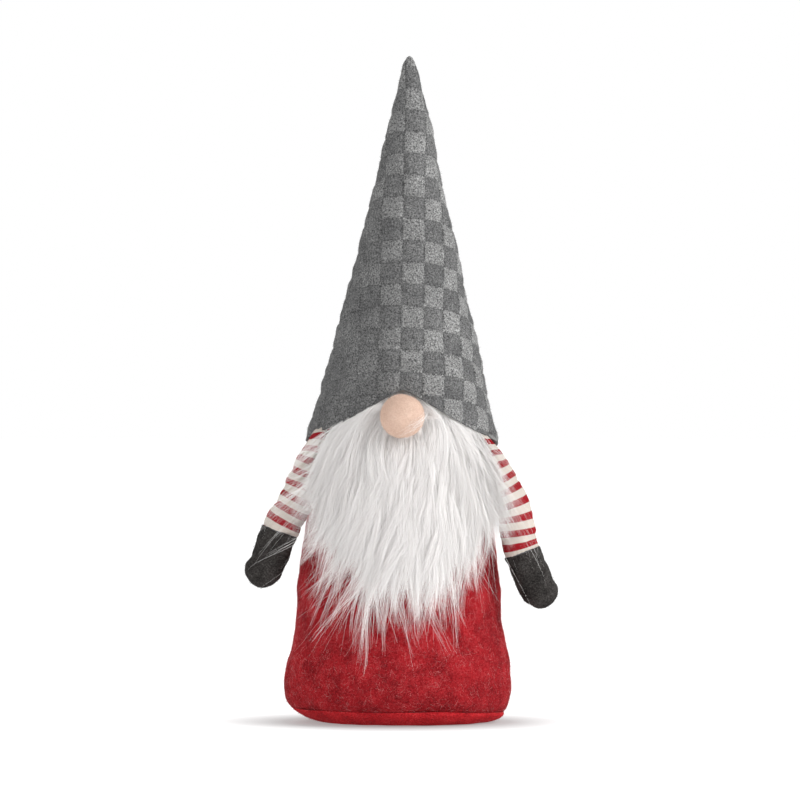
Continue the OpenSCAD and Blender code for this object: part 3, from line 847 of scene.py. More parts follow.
def sleeve(arm, knit):
    # the round top under the brim, the side, and a last row that goes into the mitten
    dome = np.linspace(0.12, math.pi / 2, 14)[:-1]
    side = np.linspace(0, arm.cuff - 0.6 * MM, 100)
    z = np.concatenate([SLEEVE_TOP_R * np.cos(dome), -side])
    taper = SLEEVE_TOP_R + (CUFF_R - SLEEVE_TOP_R) * side / arm.cuff
    r = np.concatenate([SLEEVE_TOP_R * np.sin(dome), taper])
    z = np.append(z, [-(arm.cuff + 1.5 * MM)])
    r = np.append(r, [CUFF_R - 1.6 * MM])
    cols = 120
    angle = ring_angles(cols)
    flat = around(angle[None], r[:, None], z[:, None])
    seed = 31 if arm.side == "right" else 35
    below = np.clip(-z / (12 * MM), 0, 1)[:, None]
    radius = r[:, None] + 0.5 * MM * below * wobble(flat * np.array([1, 1, 1.6]), 26 * MM, seed)
    radius = radius + 0.22 * MM * below * wobble(flat * np.array([1, 1, 2.2]), 11 * MM, seed + 1)
    to_cuff = np.abs(-z - arm.cuff)[:, None]
    radius = radius + 0.25 * MM * np.sin(23 * angle + 2 * wobble(flat, 30 * MM, seed + 2)) * np.exp(
        -to_cuff / (5 * MM))
    radius = radius - 0.4 * MM * np.exp(-(to_cuff / (2 * MM)) ** 2)
    points = around(angle[None], radius, z[:, None])
    loose = slice(len(dome), -1)                 # from the shoulder to the cuff
    points[loose] = softened(points[loose], spare=0.035, pressure=-6, limit=1.3 * MM)
    uv = knit_uv(cols, (arm.cuff + z)[:, None], -1)
    obj = grid_object(f"{arm.side}_sleeve_knit", arm.place(points), uv, cap_start=True, cap_end=True)
    obj.data.flip_normals()
    return set_piece(obj, f"{arm.side}_arm", "striped_jersey", knit, replaces=(f"{arm.side}_sleeve",))


def knit_uv(cols, height, slope):
    """U round the sleeve and V up from the cuff, in metres. The stripes hang a little lower in front."""
    edge = np.linspace(0, FULL_TURN, cols + 1)
    v = height - slope * RING_SAG * np.cos(edge)[None]
    return np.stack(np.broadcast_arrays(edge[None] * KNIT_R, v), -1)


def sleeve_gather(arm, knit):
    """The sleeve's top end, drawn flat and sewn to the robe under the brim. The arm hangs from it."""
    rows, cols = 40, 120
    s = np.linspace(0, 1, rows)[:, None]
    pivot = arm.place(np.zeros(3))
    top_z = BRIM_Z + 15 * MM
    out = unit(pivot * np.array([1, 1, 0]))
    top = out * (robe_radius(top_z) + 1.6 * MM) + np.array([0, 0, top_z])
    length = np.linalg.norm(top - pivot)
    axis = np.array(arm.frame.to_3x3() @ Vector((0, 0, 1)))
    first = pivot + axis * length * 0.32
    centre = (pivot * (1 - s) ** 2 + 2 * first * s * (1 - s) + top * s ** 2)[:, None]
    tangent = unit(np.gradient(centre[:, 0], axis=0))
    across = unit(np.cross(tangent, out))
    deep = np.cross(across, tangent)
    flatten = s ** 1.3
    half_deep = SLEEVE_TOP_R * (1 - flatten) + 1.3 * MM * flatten
    half_wide = SLEEVE_TOP_R * (1 - 0.15 * flatten)
    angle = ring_angles(cols)
    creases = 1 + 0.06 * np.sin(9 * angle + 1.3)[None] * np.sin(s * math.pi)
    # angle 0 faces forwards, as in the sleeve's own rings
    points = (centre + deep[:, None] * (half_deep * np.sin(angle) * arm.sign * creases)[..., None]
              + across[:, None] * (half_wide * np.cos(angle) * arm.sign * creases)[..., None])
    uv = knit_uv(cols, arm.cuff + s * length, -1)
    obj = grid_object(f"{arm.side}_sleeve_gather", points, uv)
    if forward_share(points) < 0:
        obj.data.flip_normals()
    thicken(obj, 0.8 * MM)
    return set_piece(obj, "torso", "striped_jersey", knit)


def forward_share(points):
    """Positive if the rows and columns of a ring grid give outward faces."""
    row = points[1]
    outward = row - row.mean(0)
    along = np.roll(row, -1, 0) - row
    up = points[2] - row
    return np.sum(np.cross(along, up) * outward)


def mitten(arm):
    length = arm.tip - arm.cuff
    t = np.linspace(0, 1, 70)
    # a straight cuff edge, a gentle swell and a full round end
    swell = MITTEN_R + 0.9 * MM * np.sin(np.clip(t / 0.75, 0, 1) * math.pi / 2)
    close = np.clip((t - 0.68) / 0.32, 0, 1)
    r = swell * np.sqrt(np.maximum(1 - close ** 2.3, 0.0004))
    z = -(arm.cuff + length * t)
    r = np.concatenate([[12.2 * MM, 13.1 * MM, 13.8 * MM], r])
    # the cuff's edge turns in round the sleeve's end
    turned_in = [-(arm.cuff + 4 * MM), -(arm.cuff - 0.2 * MM), -(arm.cuff - 0.7 * MM)]
    z = np.concatenate([turned_in, z - 0.2 * MM])
    cols = 120
    angle = ring_angles(cols)
    flat = around(angle[None], r[:, None], z[:, None])
    seed = 41 if arm.side == "right" else 45
    radius = r[:, None] * (1 + 0.035 * wobble(flat, 24 * MM, seed) + 0.016 * wobble(flat, 9 * MM, seed + 1))
    points = around(angle[None], radius, z[:, None])
    loose = slice(2, None)                       # all but the rows inside the cuff
    points[loose] = softened(points[loose], spare=0.03, pressure=-6, limit=1.2 * MM, rows=22, cols=40)
    points[..., 1] *= ARM_FLAT
    # the side towards the body is flatter, and the tip turns a little outwards
    down = np.clip((-z - arm.cuff) / length, 0, 1)[:, None]
    outwards = points[..., 0] * arm.sign
    outwards = np.where(outwards < 0, outwards * (1 - 0.2 * np.sin(down * math.pi / 2)), outwards)
    points[..., 0] = arm.sign * (outwards + 2.0 * MM * down ** 2.5)
    obj = grid_object(f"{arm.side}_mitten_felt", arm.place(points), cap_end=True)
    obj.data.flip_normals()
    return set_piece(obj, f"{arm.side}_arm", "mitten_felt", mitten_wool, replaces=(f"{arm.side}_mitten",))


def arm_filling(arm):
    """The loose filling of the sleeve and the mitten, just inside their cloth."""
    inside = 2.7 * MM
    t = np.linspace(0, 1, 60)
    z = SLEEVE_TOP_R * 0.5 - (arm.tip - 3 * MM + SLEEVE_TOP_R * 0.5) * t
    along = np.clip(-z / arm.cuff, 0, 1)
    radius = SLEEVE_TOP_R + (CUFF_R - SLEEVE_TOP_R) * along - inside
    radius = radius * (1 - 0.15 * t ** 2) * np.sqrt(1 - np.clip((t - 0.74) / 0.26, 0, 0.998) ** 2.2)
    radius = radius * np.sqrt(np.clip(t / 0.06, 0.05, 1))
    angle = ring_angles(60)
    points = around(angle[None], radius[:, None], z[:, None])
    points[..., 1] *= ARM_FLAT
    obj = grid_object(f"{arm.side}_arm_filling", arm.place(points), cap_start=True, cap_end=True)
    obj.data.flip_normals()
    return set_piece(obj, f"{arm.side}_arm", "stuffing", fibrefill, replaces=(f"{arm.side}_arm_stuffing",))


# ---------------------------------------------------------------- beard

FUR_MIDDLE = 8.5 * DEG               # the fur sits a little towards the gnome's left, as the nose does
FUR_HALF = 57.0 * DEG                # how far round the face it reaches from there
FUR_R = 66 * MM                      # radius at which distances round the face are measured
PILE = 62 * MM                       # length of the hairs
ARM_FRONT = 46 * MM                  # how far forward of the gnome's axis the front of the hanging arms lies
MITTEN_TOP = 136 * MM                # height of the mittens' cuffs, which few hairs reach
FREE_REACH = 95 * MM                 # hairs lie freely out to this far aside,
LAST_REACH = 24 * MM                 # and none goes further than this much more


def fur_share(angle):
    """Place across the fur, from -1 at the gnome's right edge to 1 at its left edge."""
    return (angle - FUR_MIDDLE) / FUR_HALF


def fur_top(angle):
    """Height at which the fur meets the brim."""
    return BRIM_Z + brim_edge(angle) + 2.5 * MM


def fur_low(angle):
    """Height of the lowest roots, higher towards the sides."""
    share = fur_share(angle)
    return 128 * MM + 66 * MM * np.where(share < 0, np.abs(share) ** 1.9, np.abs(share) ** 1.5)


def combed(angle, height):
    """How hairs are combed where they leave the cloth and at their tips, as angles from straight down: away
    from the nose at first, then down and a little out to both sides. Soft random swirls bend the flow."""
    share = fur_share(angle)
    x = FUR_R * np.sin(angle)
    dx, dz = x - NOSE.x, height - (NOSE.z + 8 * MM)
    away = np.clip(np.arctan2(dx, -dz), -46 * DEG, 42 * DEG)
    near = np.exp(-(np.hypot(dx, dz) / (42 * MM)) ** 2)
    place = np.stack([x, 0 * x, height], -1)
    swirl = 12 * DEG * wobble(place, 34 * MM, 61) + 11 * DEG * wobble(place, 13 * MM, 62)
    # both sides fan out, and the middle leans towards the gnome's right
    fan = np.where(share < 0, 5 * DEG, 9 * DEG) * share - 1 * DEG - 17 * DEG * np.exp(-(share / 0.5) ** 2)
    late = 13 * DEG * wobble(place, 28 * MM, 63) + 14 * DEG * wobble(place, 12 * MM, 64)
    return away * near + 1.35 * fan * (1 - near) + swirl, 0.75 * fan + late


def brim_gap(angle, height):
    """How far the fur stands off the robe just under the brim, to fill the gap behind the brim's edge."""
    near = np.clip(1 - (fur_top(angle) - height) / (14 * MM), 0, 1)
    return near * (1.5 * MM + 6.0 * MM * np.clip(np.sin(angle), 0, 1))


def fur_path(angle, height, length, start, end, loft, points=9):
    """Where hairs lie that leave the cloth at the given angles and heights. They turn from their start angle
    to their end angle, and lie on the robe with the given loft."""
    t = np.linspace(0, 1, points)[None]
    step = length[:, None] / (points - 1)
    turn = end[:, None] + (start - end)[:, None] * np.exp(-3.2 * t)
    middle = (turn[:, 1:] + turn[:, :-1]) / 2
    zero = np.zeros((len(angle), 1))
    aside = np.concatenate([zero, np.cumsum(step * np.sin(middle), 1)], 1)
    fall = np.concatenate([zero, np.cumsum(step * np.cos(middle), 1)], 1)
    z = height[:, None] - fall
    rise = loft[:, None] * (1 - np.exp(-t * length[:, None] / (12 * MM))) * (1 - 0.3 * t ** 2)
    radius = robe_radius(z) + 1.0 * MM + np.maximum(rise, brim_gap(angle, height)[:, None])
    a = angle[:, None]
    # out points away from the body, and along runs aside, bending backwards with the body only at the sides
    out = np.stack([np.sin(a) + 0 * t, -np.cos(a) + 0 * t, 0 * a * t], -1)
    wrap = np.clip((np.abs(a) - 22 * DEG) / (25 * DEG), 0, 1)
    sideways = np.cos(a) * (1 - wrap) + wrap
    backwards = np.sin(a) * (1 - wrap) - 0.14 * np.sign(a) * wrap
    along = np.stack([sideways, backwards, 0 * a], -1)
    path = out * radius[..., None] + unit(along) * aside[..., None]
    path[..., 2] = z
    free = 1 - np.exp(-(t * length[:, None] / (15 * MM)) ** 2)
    return under_brim(over_arms(path, loft[:, None], free))


def under_brim(path):
    """Keeps the parts of hairs that are above the brim's edge inside the hat."""
    x, y = path[..., 0] - HAT_DX, path[..., 1]
    height = path[..., 2] - BRIM_Z
    hidden_part = height > brim_edge(np.arctan2(x, -y)) - 2.0 * MM
    radius = np.hypot(x, y)
    inside = hat_radius(height) - 4.2 * MM
    scale = np.where(hidden_part & (radius > inside), inside / radius, 1)
    path[..., 0] = HAT_DX + x * scale
    path[..., 1] = y * scale
    return path


def over_arms(path, loft, free):
    """Moves the free parts of hairs that reach an arm forwards, so that they lie over its front."""
    x, y = path[..., 0], path[..., 1]
    reach = np.clip((np.abs(x) - 50 * MM) / (12 * MM), 0, 1)
    reach = free * reach * reach * (3 - 2 * reach)
    front = -ARM_FRONT - 0.5 * loft
    path[..., 1] = y + (np.minimum(y, front) - y) * reach
    beyond = np.maximum(np.abs(x) - FREE_REACH, 0)
    path[..., 0] = np.sign(x) * (np.abs(x) - beyond + LAST_REACH * np.tanh(beyond / LAST_REACH))
    return path


def follow(guides, owner, along):
    """Points on the guides that own each hair, at the given shares of the guides' lengths."""
    last = guides.shape[1] - 1
    place = np.clip(along, 0, 1) * last
    low = np.minimum(place.astype(int), last - 1)
    part = (place - low)[..., None]
    own = owner[:, None]
    return guides[own, low] * (1 - part) + guides[own, low + 1] * part


def nearest(angle, height, to_angle, to_height):
    """Index of the nearest of some root places to each of some others, measured along the cloth."""
    tree = kdtree.KDTree(len(to_angle))
    for index, (a, z) in enumerate(zip(to_angle * FUR_R, to_height)):
        tree.insert((a, z, 0), index)
    tree.balance()
    return np.array([tree.find((a, z, 0))[1] for a, z in zip(angle * FUR_R, height)])


def fur_roots(count, local):
    """Random root places, thinning out towards the fur's side edges and its lower edge."""
    angle = FUR_MIDDLE + local.uniform(-1, 1, count) * FUR_HALF
    low, high = fur_low(angle), fur_top(angle)
    height = low + (high - low) * local.uniform(0, 1, count)
    x = FUR_R * np.sin(angle)
    aside, above = np.abs(x - NOSE.x), height - NOSE.z
    # no roots behind the nose or straight above it
    clear = (np.hypot(aside, above) > 10 * MM) & ((aside > 13 * MM) | (above < 0))
    sides = np.clip((1 - np.abs(fur_share(angle))) / 0.22, 0.03, 1)
    foot = np.clip((height - low) / (14 * MM), 0.25, 1)
    keep = clear & (local.uniform(0, 1, count) < sides * foot)
    return angle[keep], height[keep]


class Strands:
    """Hairs or locks of hair: their roots, lengths, combing and paths, gathered towards larger locks."""

    def __init__(self, count, local, parents=None, stray=0.0, spread=8 * DEG, lengths=(0.85, 1.1),
                 lofts=(6 * MM, 12 * MM), hold=(0.5, 0.9), flare=0.0):
        self.angle, self.height = fur_roots(count, local)
        count = len(self.angle)
        start, end = combed(self.angle, self.height)
        side = fur_share(self.angle)
        outwards = flare * np.where(side < 0, 1, 0.5) * side * np.abs(side) ** 3    # edge hairs turn out
        start, end = start + 0.9 * outwards, end + outwards
        scale = local.uniform(*lengths, count)
        if parents is None:
            start = start + local.normal(0, spread, count)
            end = end + local.normal(0, spread, count)
            loft = local.uniform(*lofts, count)
            self.length = PILE * scale
            self.path = fur_path(self.angle, self.height, self.length, start, end, loft)
            self.loft = loft
            return
        owner = nearest(self.angle, self.height, parents.angle, parents.height)
        wild = local.uniform(0, 1, count) < stray
        start = start + local.normal(0, spread, count) * np.where(wild, 3, 1)
        end = end + local.normal(0, spread, count) * np.where(wild, 3, 1)
        self.loft = parents.loft[owner] * local.uniform(*lofts, count)
        self.length = parents.length[owner] * scale * np.where(wild, 1.12, 1)
        own = fur_path(self.angle, self.height, self.length, start, end, self.loft)
        t = np.linspace(0, 1, own.shape[1])[None]
        guide = follow(parents.path, owner, t * (self.length / parents.length[owner])[:, None])
        grip = np.where(wild, 0.15, local.uniform(*hold, count))[:, None] * np.sin(t * math.pi / 2)
        self.path = own * (1 - grip[..., None]) + guide * grip[..., None]

    def keep(self, chosen):
        for key in ("angle", "height", "length", "loft", "path"):
            setattr(self, key, getattr(self, key)[chosen])

    def ruffle(self, local, amount):
        """A slow random wave along each path, growing towards the tip."""
        count, points = self.path.shape[:2]
        t = np.linspace(0, 1, points)[None]
        for axis, share in ((0, 1.0), (1, 0.6)):
            wave = np.sin(t * local.uniform(3, 8, (count, 1)) + local.uniform(0, FULL_TURN, (count, 1)))
            self.path[..., axis] += wave * t * local.normal(0, amount * share, (count, 1))


def beard():
    local = np.random.default_rng(7)
    locks = Strands(620, local, spread=10 * DEG, lengths=(0.66, 1.1), lofts=(5 * MM, 12 * MM))
    locks.ruffle(local, 3.4 * MM)
    tufts = Strands(5200, local, locks, spread=8 * DEG, lengths=(0.75, 1.08), lofts=(0.78, 1.1),
                    hold=(0.35, 0.8))
    tufts.ruffle(local, 1.0 * MM)
    hairs = Strands(125000, local, tufts, stray=0.08, spread=4 * DEG, lengths=(0.6, 1.08), lofts=(0.7, 1.12),
                    hold=(0.35, 0.85))
    hairs.ruffle(local, 0.5 * MM)
    long = wisps(local)
    hair_objects("beard_fur", hairs, local, parts=10, widths=(0.09 * MM, 0.17 * MM), twist=0.5)
    hair_objects("beard_wisps", long, local, parts=2, widths=(0.13 * MM, 0.20 * MM), twist=0.7)


def near_edge(hairs, reach):
    """Which hairs have their roots near the fur's side edges, or within reach of its lower edge."""
    share = fur_share(hairs.angle)
    return (hairs.height < fur_low(hairs.angle) + reach) | (share < -0.74) | (share > 0.86)


def wisps(local):
    """Thin long locks at the fur's lower and side edges, that end in separate pointed strands."""
    flare = 56 * DEG
    guides = Strands(1500, local, spread=14 * DEG, lengths=(0.95, 1.75), lofts=(3 * MM, 9 * MM), flare=flare)
    guides.ruffle(local, 5.0 * MM)
    edge = near_edge(guides, 16 * MM)
    guides.keep(edge & (local.uniform(0, 1, len(edge)) < 0.5))
    hairs = Strands(60000, local, guides, stray=0.10, spread=8 * DEG, lengths=(0.45, 1.1), lofts=(0.6, 1.2),
                    hold=(0.85, 0.99), flare=flare)
    # fewer hairs at the sides, where the stripes show through them, and fewer still over the mittens
    kept = np.where(np.abs(fur_share(hairs.angle)) > 0.72, 0.085, 0.42)
    hairs.keep(near_edge(hairs, 18 * MM) & (local.uniform(0, 1, len(kept)) < kept))
    tip = hairs.path[:, -1]
    on_mitten = (np.abs(tip[:, 0]) > 74 * MM) & (tip[:, 2] < MITTEN_TOP)
    hairs.keep(~on_mitten | (local.uniform(0, 1, len(tip)) < 0.3))
    hairs.ruffle(local, 0.8 * MM)
    return hairs


def hair_objects(name, hairs, local, parts, widths, twist):
    """Splits hairs into pieces by their place round the face and makes each piece."""
    count, points = hairs.path.shape[:2]
    shade = local.choice(3, count, p=[0.6, 0.28, 0.12])
    taper = 1 - 0.85 * np.linspace(0, 1, points) ** 2.2
    width = local.uniform(*widths, count)[:, None] * taper[None]
    turn = local.normal(0, twist, count)
    for index, chosen in enumerate(np.array_split(np.argsort(hairs.angle), parts)):
        own = hairs.path[chosen]
        outward = unit(own * np.array([1, 1, 0]))
        obj = ribbons(f"{name}_{index + 1}", own, width[chosen], outward, turn[chosen], shade[chosen])
        first = name == "beard_fur" and index == 0
        set_piece(obj, BEARD, "fur_pile", *FUR_COLOURS,
                  replaces=("beard_pile_upper", "beard_pile_lower") if first else ())


def tuft_paths(root, tip, count, local, spread, sag, front, points=9):
    """A small free tuft of hairs from about one place to another, pointed at its tip."""
    root, tip = np.array(root), np.array(tip)
    t = np.linspace(0, 1, points)[None, :, None]
    start = root + local.normal(0, 1, (count, 1, 3)) * spread
    end = tip + local.normal(0, 1, (count, 1, 3)) * spread * 0.35
    reach = local.uniform(0.7, 1.05, (count, 1, 1))
    paths = start + (end - start) * t * reach
    bend = np.sin(t * math.pi * 0.8)
    paths[..., 2:] += bend * (sag + local.normal(0, 1.2 * MM, (count, 1, 1)))
    paths[..., 1:2] -= bend * (front + local.uniform(0, 1.0 * MM, (count, 1, 1)))
    return paths


def nose_strands(count, local, points=9):
    """Single hairs that curl round the nose's lower edge from the gnome's left, just off its surface."""
    t = np.linspace(0, 1, points)[None]
    one = (count, 1)
    turn = (-4 * DEG + local.normal(0, 9 * DEG, one)) - t * (92 * DEG + local.normal(0, 22 * DEG, one))
    forward = (52 * DEG + local.normal(0, 9 * DEG, one)) * np.sin(math.pi * (0.12 + 0.68 * t))
    ball = np.stack([np.cos(turn) * np.cos(forward), -np.sin(forward), np.sin(turn) * np.cos(forward)], -1)
    radius = NOSE_R + 0.3 * MM + local.uniform(0, 0.8 * MM, one) + 2.5 * MM * (1 - t) ** 3
    return np.array(NOSE) + ball * radius[..., None] - np.array([0, 0, 1.2 * MM])


def nose_tufts():
    """Hairs that stand out beside the nose over the brim, and a few that cross the nose's lower edge."""
    local = np.random.default_rng(9)
    side = tuft_paths((NOSE.x + 13 * MM, NOSE.y + 14 * MM, NOSE.z + 2 * MM),
                      (NOSE.x + 29 * MM, NOSE.y + 10 * MM, NOSE.z - 3 * MM), 420, local,
                      np.array([2.2, 1.2, 3.2]) * MM, sag=1.5 * MM, front=2 * MM)
    under = nose_strands(16, local)
    behind = [tuft_paths((NOSE.x + out * 7 * MM, NOSE.y + 19 * MM, NOSE.z + 4 * MM),
                         (NOSE.x + out * 13 * MM, NOSE.y + 3 * MM, NOSE.z - 15 * MM), 700, local,
                         np.array([3.0, 2.0, 4.0]) * MM, sag=1 * MM, front=1 * MM) for out in (-1, 0, 1)]
    paths = np.concatenate([side, under, *behind])
    count, points = paths.shape[:2]
    width = local.uniform(0.10, 0.17, count)[:, None] * MM * (1 - 0.8 * np.linspace(0, 1, points)[None] ** 2)
    outward = unit(paths * np.array([1, 1, 0]))
    obj = ribbons("beard_fur_at_nose", paths, width, outward, local.normal(0, 0.7, count),
                  local.choice(3, count, p=[0.7, 0.2, 0.1]))
    set_piece(obj, "torso", "fur_pile", *FUR_COLOURS)


def underfur_mat():
    """The soft dense underfur that closes the view between the long hairs."""
    cols, rows = 110, 90
    share = np.linspace(-1, 1, cols)
    angle = FUR_MIDDLE + share * (FUR_HALF - 7 * DEG)
    low, high = fur_low(angle) - 8 * MM, fur_top(angle) + 3 * MM
    t = np.linspace(0, 1, rows)[:, None]
    z = low + (high - low) * t
    edge = np.minimum((1 - np.abs(share)[None]) * 6, np.minimum(t * 4, (1 - t) * 3))
    edge = np.clip(edge, 0, 1) ** 0.7
    radius = robe_radius(z) + 0.9 * MM + 2.2 * MM * edge
    flat = around(angle[None], radius, z)
    radius = radius + 0.4 * MM * wobble(flat, 9 * MM, 51) * edge
    obj = grid_object("beard_underfur", around(angle[None], radius, z), closed=False)
    thicken(obj, 0.8 * MM)
    set_piece(obj, BEARD, "fur_pile", underfur)


def backing():
    """The woven backing of the fur, which lies on the robe."""
    cols, rows = 90, 70
    share = np.linspace(-1, 1, cols)
    angle = FUR_MIDDLE + share * (FUR_HALF - 3 * DEG)
    low, high = fur_low(angle) - 4 * MM, fur_top(angle) + 3 * MM
    z = low + (high - low) * np.linspace(0, 1, rows)[:, None]
    flat = around(angle[None], robe_radius(z), z)
    radius = robe_radius(z) + 0.9 * MM + 0.15 * MM * wobble(flat, 15 * MM, 52)
    obj = grid_object("beard_backing", around(angle[None], radius, z), closed=False)
    thicken(obj, 0.6 * MM)
    set_piece(obj, BEARD, "fur_backing", backing_cloth,
              replaces=("beard_backing_upper", "beard_backing_lower"))


# ---------------------------------------------------------------- fuzz


def surface_samples(obj, count, local, keep=None):
    """Random points on a piece's faces, with their normals."""
    mesh = obj.data
    mesh.calc_loop_triangles()
    tris = np.empty(len(mesh.loop_triangles) * 3, np.int32)
    mesh.loop_triangles.foreach_get("vertices", tris)
    co = np.empty(len(mesh.vertices) * 3, np.float32)
    mesh.vertices.foreach_get("co", co)
    corners = co.reshape(-1, 3)[tris.reshape(-1, 3)].astype(float)
    if keep is not None:
        corners = corners[keep(corners.mean(1))]
    normal = np.cross(corners[:, 1] - corners[:, 0], corners[:, 2] - corners[:, 0])
    area = np.linalg.norm(normal, axis=1)
    pick = local.choice(len(corners), count, p=area / area.sum())
    a, b = local.uniform(0, 1, (2, count, 1))
    fold = a + b > 1
    a, b = np.where(fold, 1 - a, a), np.where(fold, 1 - b, b)
    c = corners[pick]
    return c[:, 0] + a * (c[:, 1] - c[:, 0]) + b * (c[:, 2] - c[:, 0]), unit(normal[pick])


def fuzz(name, obj, body, slot, materials, seed, count, length, thickness, lift, curl=0.3, points=4,
         keep=None):
    """Short loose fibres that stand and lie on a felt surface. length, thickness and lift are ranges, and
    lift is how steeply they leave it, 0 to 1. keep chooses the faces that have them, by their middles."""
    local = np.random.default_rng(seed)
    root, normal = surface_samples(obj, count, local, keep)
    flat = unit(np.cross(normal, local.normal(size=(count, 3))))
    across = np.cross(normal, flat)
    size = local.uniform(*length, count)
    rise = local.uniform(*lift, count)
    t = np.linspace(0, 1, points)[None, :, None]
    bend = local.normal(0, curl, count)[:, None, None]
    forward = np.sin(bend * t * math.pi + 1e-9) / (bend * math.pi + 1e-9)
    sideways = (1 - np.cos(bend * t * math.pi)) / (bend * math.pi + 1e-9)
    reach = size[:, None, None]
    level = rise[:, None, None]
    paths = (root[:, None] + flat[:, None] * forward * reach * (1 - level)
             + across[:, None] * sideways * reach * (1 - 0.5 * level)
             + normal[:, None] * (reach * level * (t - 0.45 * t ** 2) * 1.6 + 0.05 * MM))
    width = local.uniform(*thickness, count)[:, None] * (1 - 0.7 * t[..., 0] ** 2)
    shade = local.integers(0, len(materials), count)
    outward = np.repeat(normal[:, None], points, 1)
    made = ribbons(name, paths, width, outward, local.normal(0, 0.8, count), shade)
    return set_piece(made, body, slot, *materials)


# ---------------------------------------------------------------- the object

robe_piece = robe()
base_piece = base()
hat_piece = hat()
nose_piece = nose()
base_seam_stitches()
back_seam_stitches()
body_filling()
hat_filling()
hat_back_stitches()
backing()
underfur_mat()
beard()
nose_tufts()

arms = [Arm("right", bow=0.0, shift=-4.5 * MM), Arm("left", bow=2.5 * MM, shift=3.0 * MM)]
for arm, knit in zip(arms, (right_knit, left_knit)):
    sleeve(arm, knit)
    sleeve_gather(arm, knit)
    arm_filling(arm)
    fuzz(f"{arm.side}_mitten_fuzz", mitten(arm), f"{arm.side}_arm", "mitten_felt",
         (coal_fuzz, coal_fuzz, ash_fuzz), 60 + arm.sign, 2600, length=(1.2 * MM, 3.2 * MM),
         thickness=(0.05 * MM, 0.12 * MM), lift=(0.1, 0.8))

fuzz("hat_fuzz", hat_piece, "torso", "hat_felt", (grey_fuzz, grey_fuzz, dark_fuzz), 71, 26000,
     length=(0.8 * MM, 2.2 * MM), thickness=(0.05 * MM, 0.12 * MM), lift=(0.1, 0.9))
fuzz("base_fuzz", base_piece, "torso", "robe_felt", (red_fuzz, pink_fuzz), 75, 5000,
     length=(0.8 * MM, 3 * MM), thickness=(0.04 * MM, 0.09 * MM), lift=(0.0, 0.6),
     keep=lambda c: c[:, 2] > 1.5 * MM)
fuzz("nose_fuzz", nose_piece, "torso", "nose_felt", (peach_fuzz,), 72, 11000,
     length=(0.6 * MM, 1.8 * MM), thickness=(0.06 * MM, 0.12 * MM), lift=(0.2, 1.0))
fuzz("robe_fuzz", robe_piece, "torso", "robe_felt", (red_fuzz, red_fuzz, pink_fuzz), 73, 34000,
     length=(0.8 * MM, 2.4 * MM), thickness=(0.04 * MM, 0.10 * MM), lift=(0.1, 0.9),
     keep=lambda c: c[:, 2] < BRIM_Z)
fuzz("robe_curls", robe_piece, "torso", "robe_felt", (pink_fuzz, pale_fuzz, pink_fuzz), 74, 20000,
     length=(2.5 * MM, 9 * MM), thickness=(0.04 * MM, 0.085 * MM), lift=(0.0, 0.12), curl=0.8, points=5,
     keep=lambda c: c[:, 2] < BRIM_Z)

hidden = {"stuffing": fibrefill, "cotton": cotton, "pellets": pellets(), "board": board,
          "robe_thread": red_thread, "hat_thread": grey_thread, "mitten_thread": grey_thread,
          "light_thread": light_thread, "fur_backing": backing_cloth, "fur_pile": underfur,
          "robe_felt": robe_wool, "hat_felt": hat_wool, "nose_felt": nose_wool, "mitten_felt": mitten_wool,
          "striped_jersey": right_knit}
for part in frame["record"]["subparts"]:
    mesh = frame["nodes"][part["node"]].data
    mesh.materials.clear()
    mesh.materials.append(hidden[part["material_slot"]])

# ---------------------------------------------------------------- camera, light and floor


def camera():
    data = bpy.data.cameras.new("camera")
    distance, view_height, sensor = 4.208, 0.6022, 36.0
    data.sensor_width = sensor
    data.lens = sensor * distance / view_height
    data.clip_end = 50
    obj = bpy.data.objects.new("camera", data)
    obj.location = (0.0019, -distance, 0.2418)
    obj.rotation_euler = (math.pi / 2, 0, 0)
    bpy.context.scene.collection.objects.link(obj)
    bpy.context.scene.camera = obj


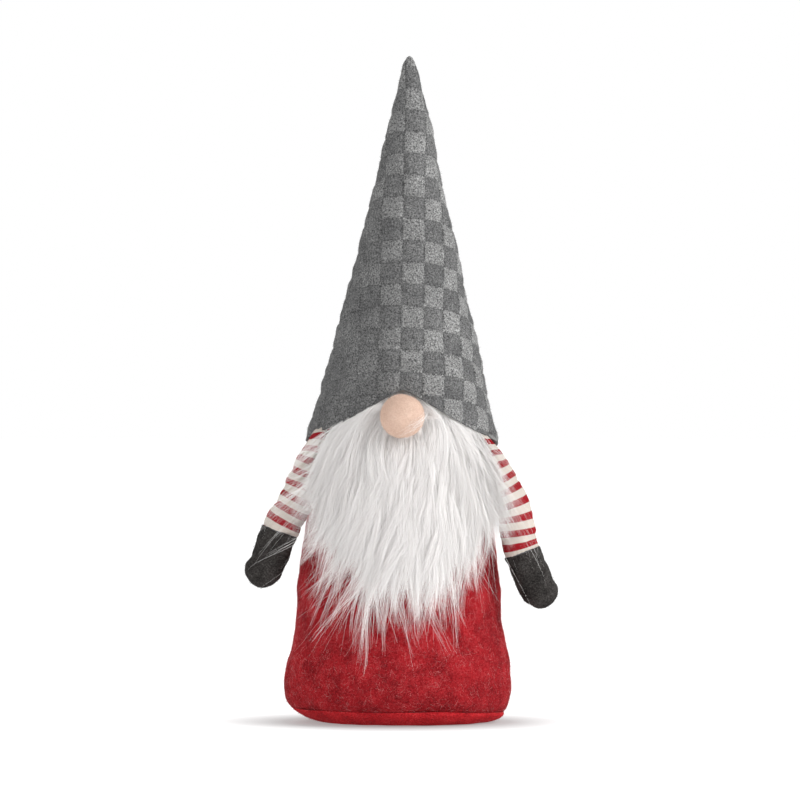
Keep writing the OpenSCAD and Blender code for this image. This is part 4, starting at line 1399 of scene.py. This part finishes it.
def area_light(name, place, target, size, power):
    data = bpy.data.lights.new(name, "AREA")
    data.shape = "DISK"
    data.size = size
    data.energy = power
    obj = bpy.data.objects.new(name, data)
    obj.location = place
    obj.rotation_euler = (Vector(target) - Vector(place)).to_track_quat("-Z", "Y").to_euler()
    bpy.context.scene.collection.objects.link(obj)


def floor():
    """A white paper floor that glows though it is no lamp. It glows more away from the gnome, so that it meets the
    backdrop in white, and its weaker glow near the gnome paints a soft shadow round its foot.
    """
    angle = ring_angles(96)
    radii = np.array([0.05, 0.2, 0.6, 2.0, 30.0])
    obj = grid_object("floor", around(angle[None], radii[:, None], -0.3 * MM), cap_start=True)
    n = Nodes("floor_paper")
    far_off = n.add("VectorMath", {0: n.place()}, 1, operation="LENGTH")
    # painted glow, weaker near the gnome as a painted shadow round its foot
    glow = n.range(far_off, 0.085, 0.15, 0.32, 0.9)
    n.set(Base_Color=(0.36, 0.36, 0.36), Roughness=0.9, Specular_IOR_Level=0.0, Emission_Color=(1, 1, 1),
          Emission_Strength=glow)
    obj.data.materials.append(n.material)


def studio():
    world = bpy.data.worlds.new("studio")
    bpy.context.scene.world = world
    world.use_nodes = True
    tree = world.node_tree
    sky, backdrop = tree.nodes["Background"], tree.nodes.new("ShaderNodeBackground")
    for node, strength in ((sky, 0.69), (backdrop, 1.0)):
        node.inputs["Color"].default_value = (1, 1, 1, 1)
        node.inputs["Strength"].default_value = strength
    path = tree.nodes.new("ShaderNodeLightPath")
    mix = tree.nodes.new("ShaderNodeMixShader")
    tree.links.new(path.outputs["Is Camera Ray"], mix.inputs[0])
    tree.links.new(sky.outputs[0], mix.inputs[1])
    tree.links.new(backdrop.outputs[0], mix.inputs[2])
    tree.links.new(mix.outputs[0], tree.nodes["World Output"].inputs[0])
    area_light("key", (2.3, -1.1, 1.4), (0, 0, 0.25), size=1.8, power=60)
    area_light("fill", (-1.2, -2.3, 0.9), (0, 0, 0.2), size=1.6, power=12)
    area_light("back", (-0.6, 1.9, 1.5), (0, 0, 0.25), size=1.2, power=14)
    bpy.context.scene.view_settings.view_transform = "Standard"


camera()
studio()
floor()
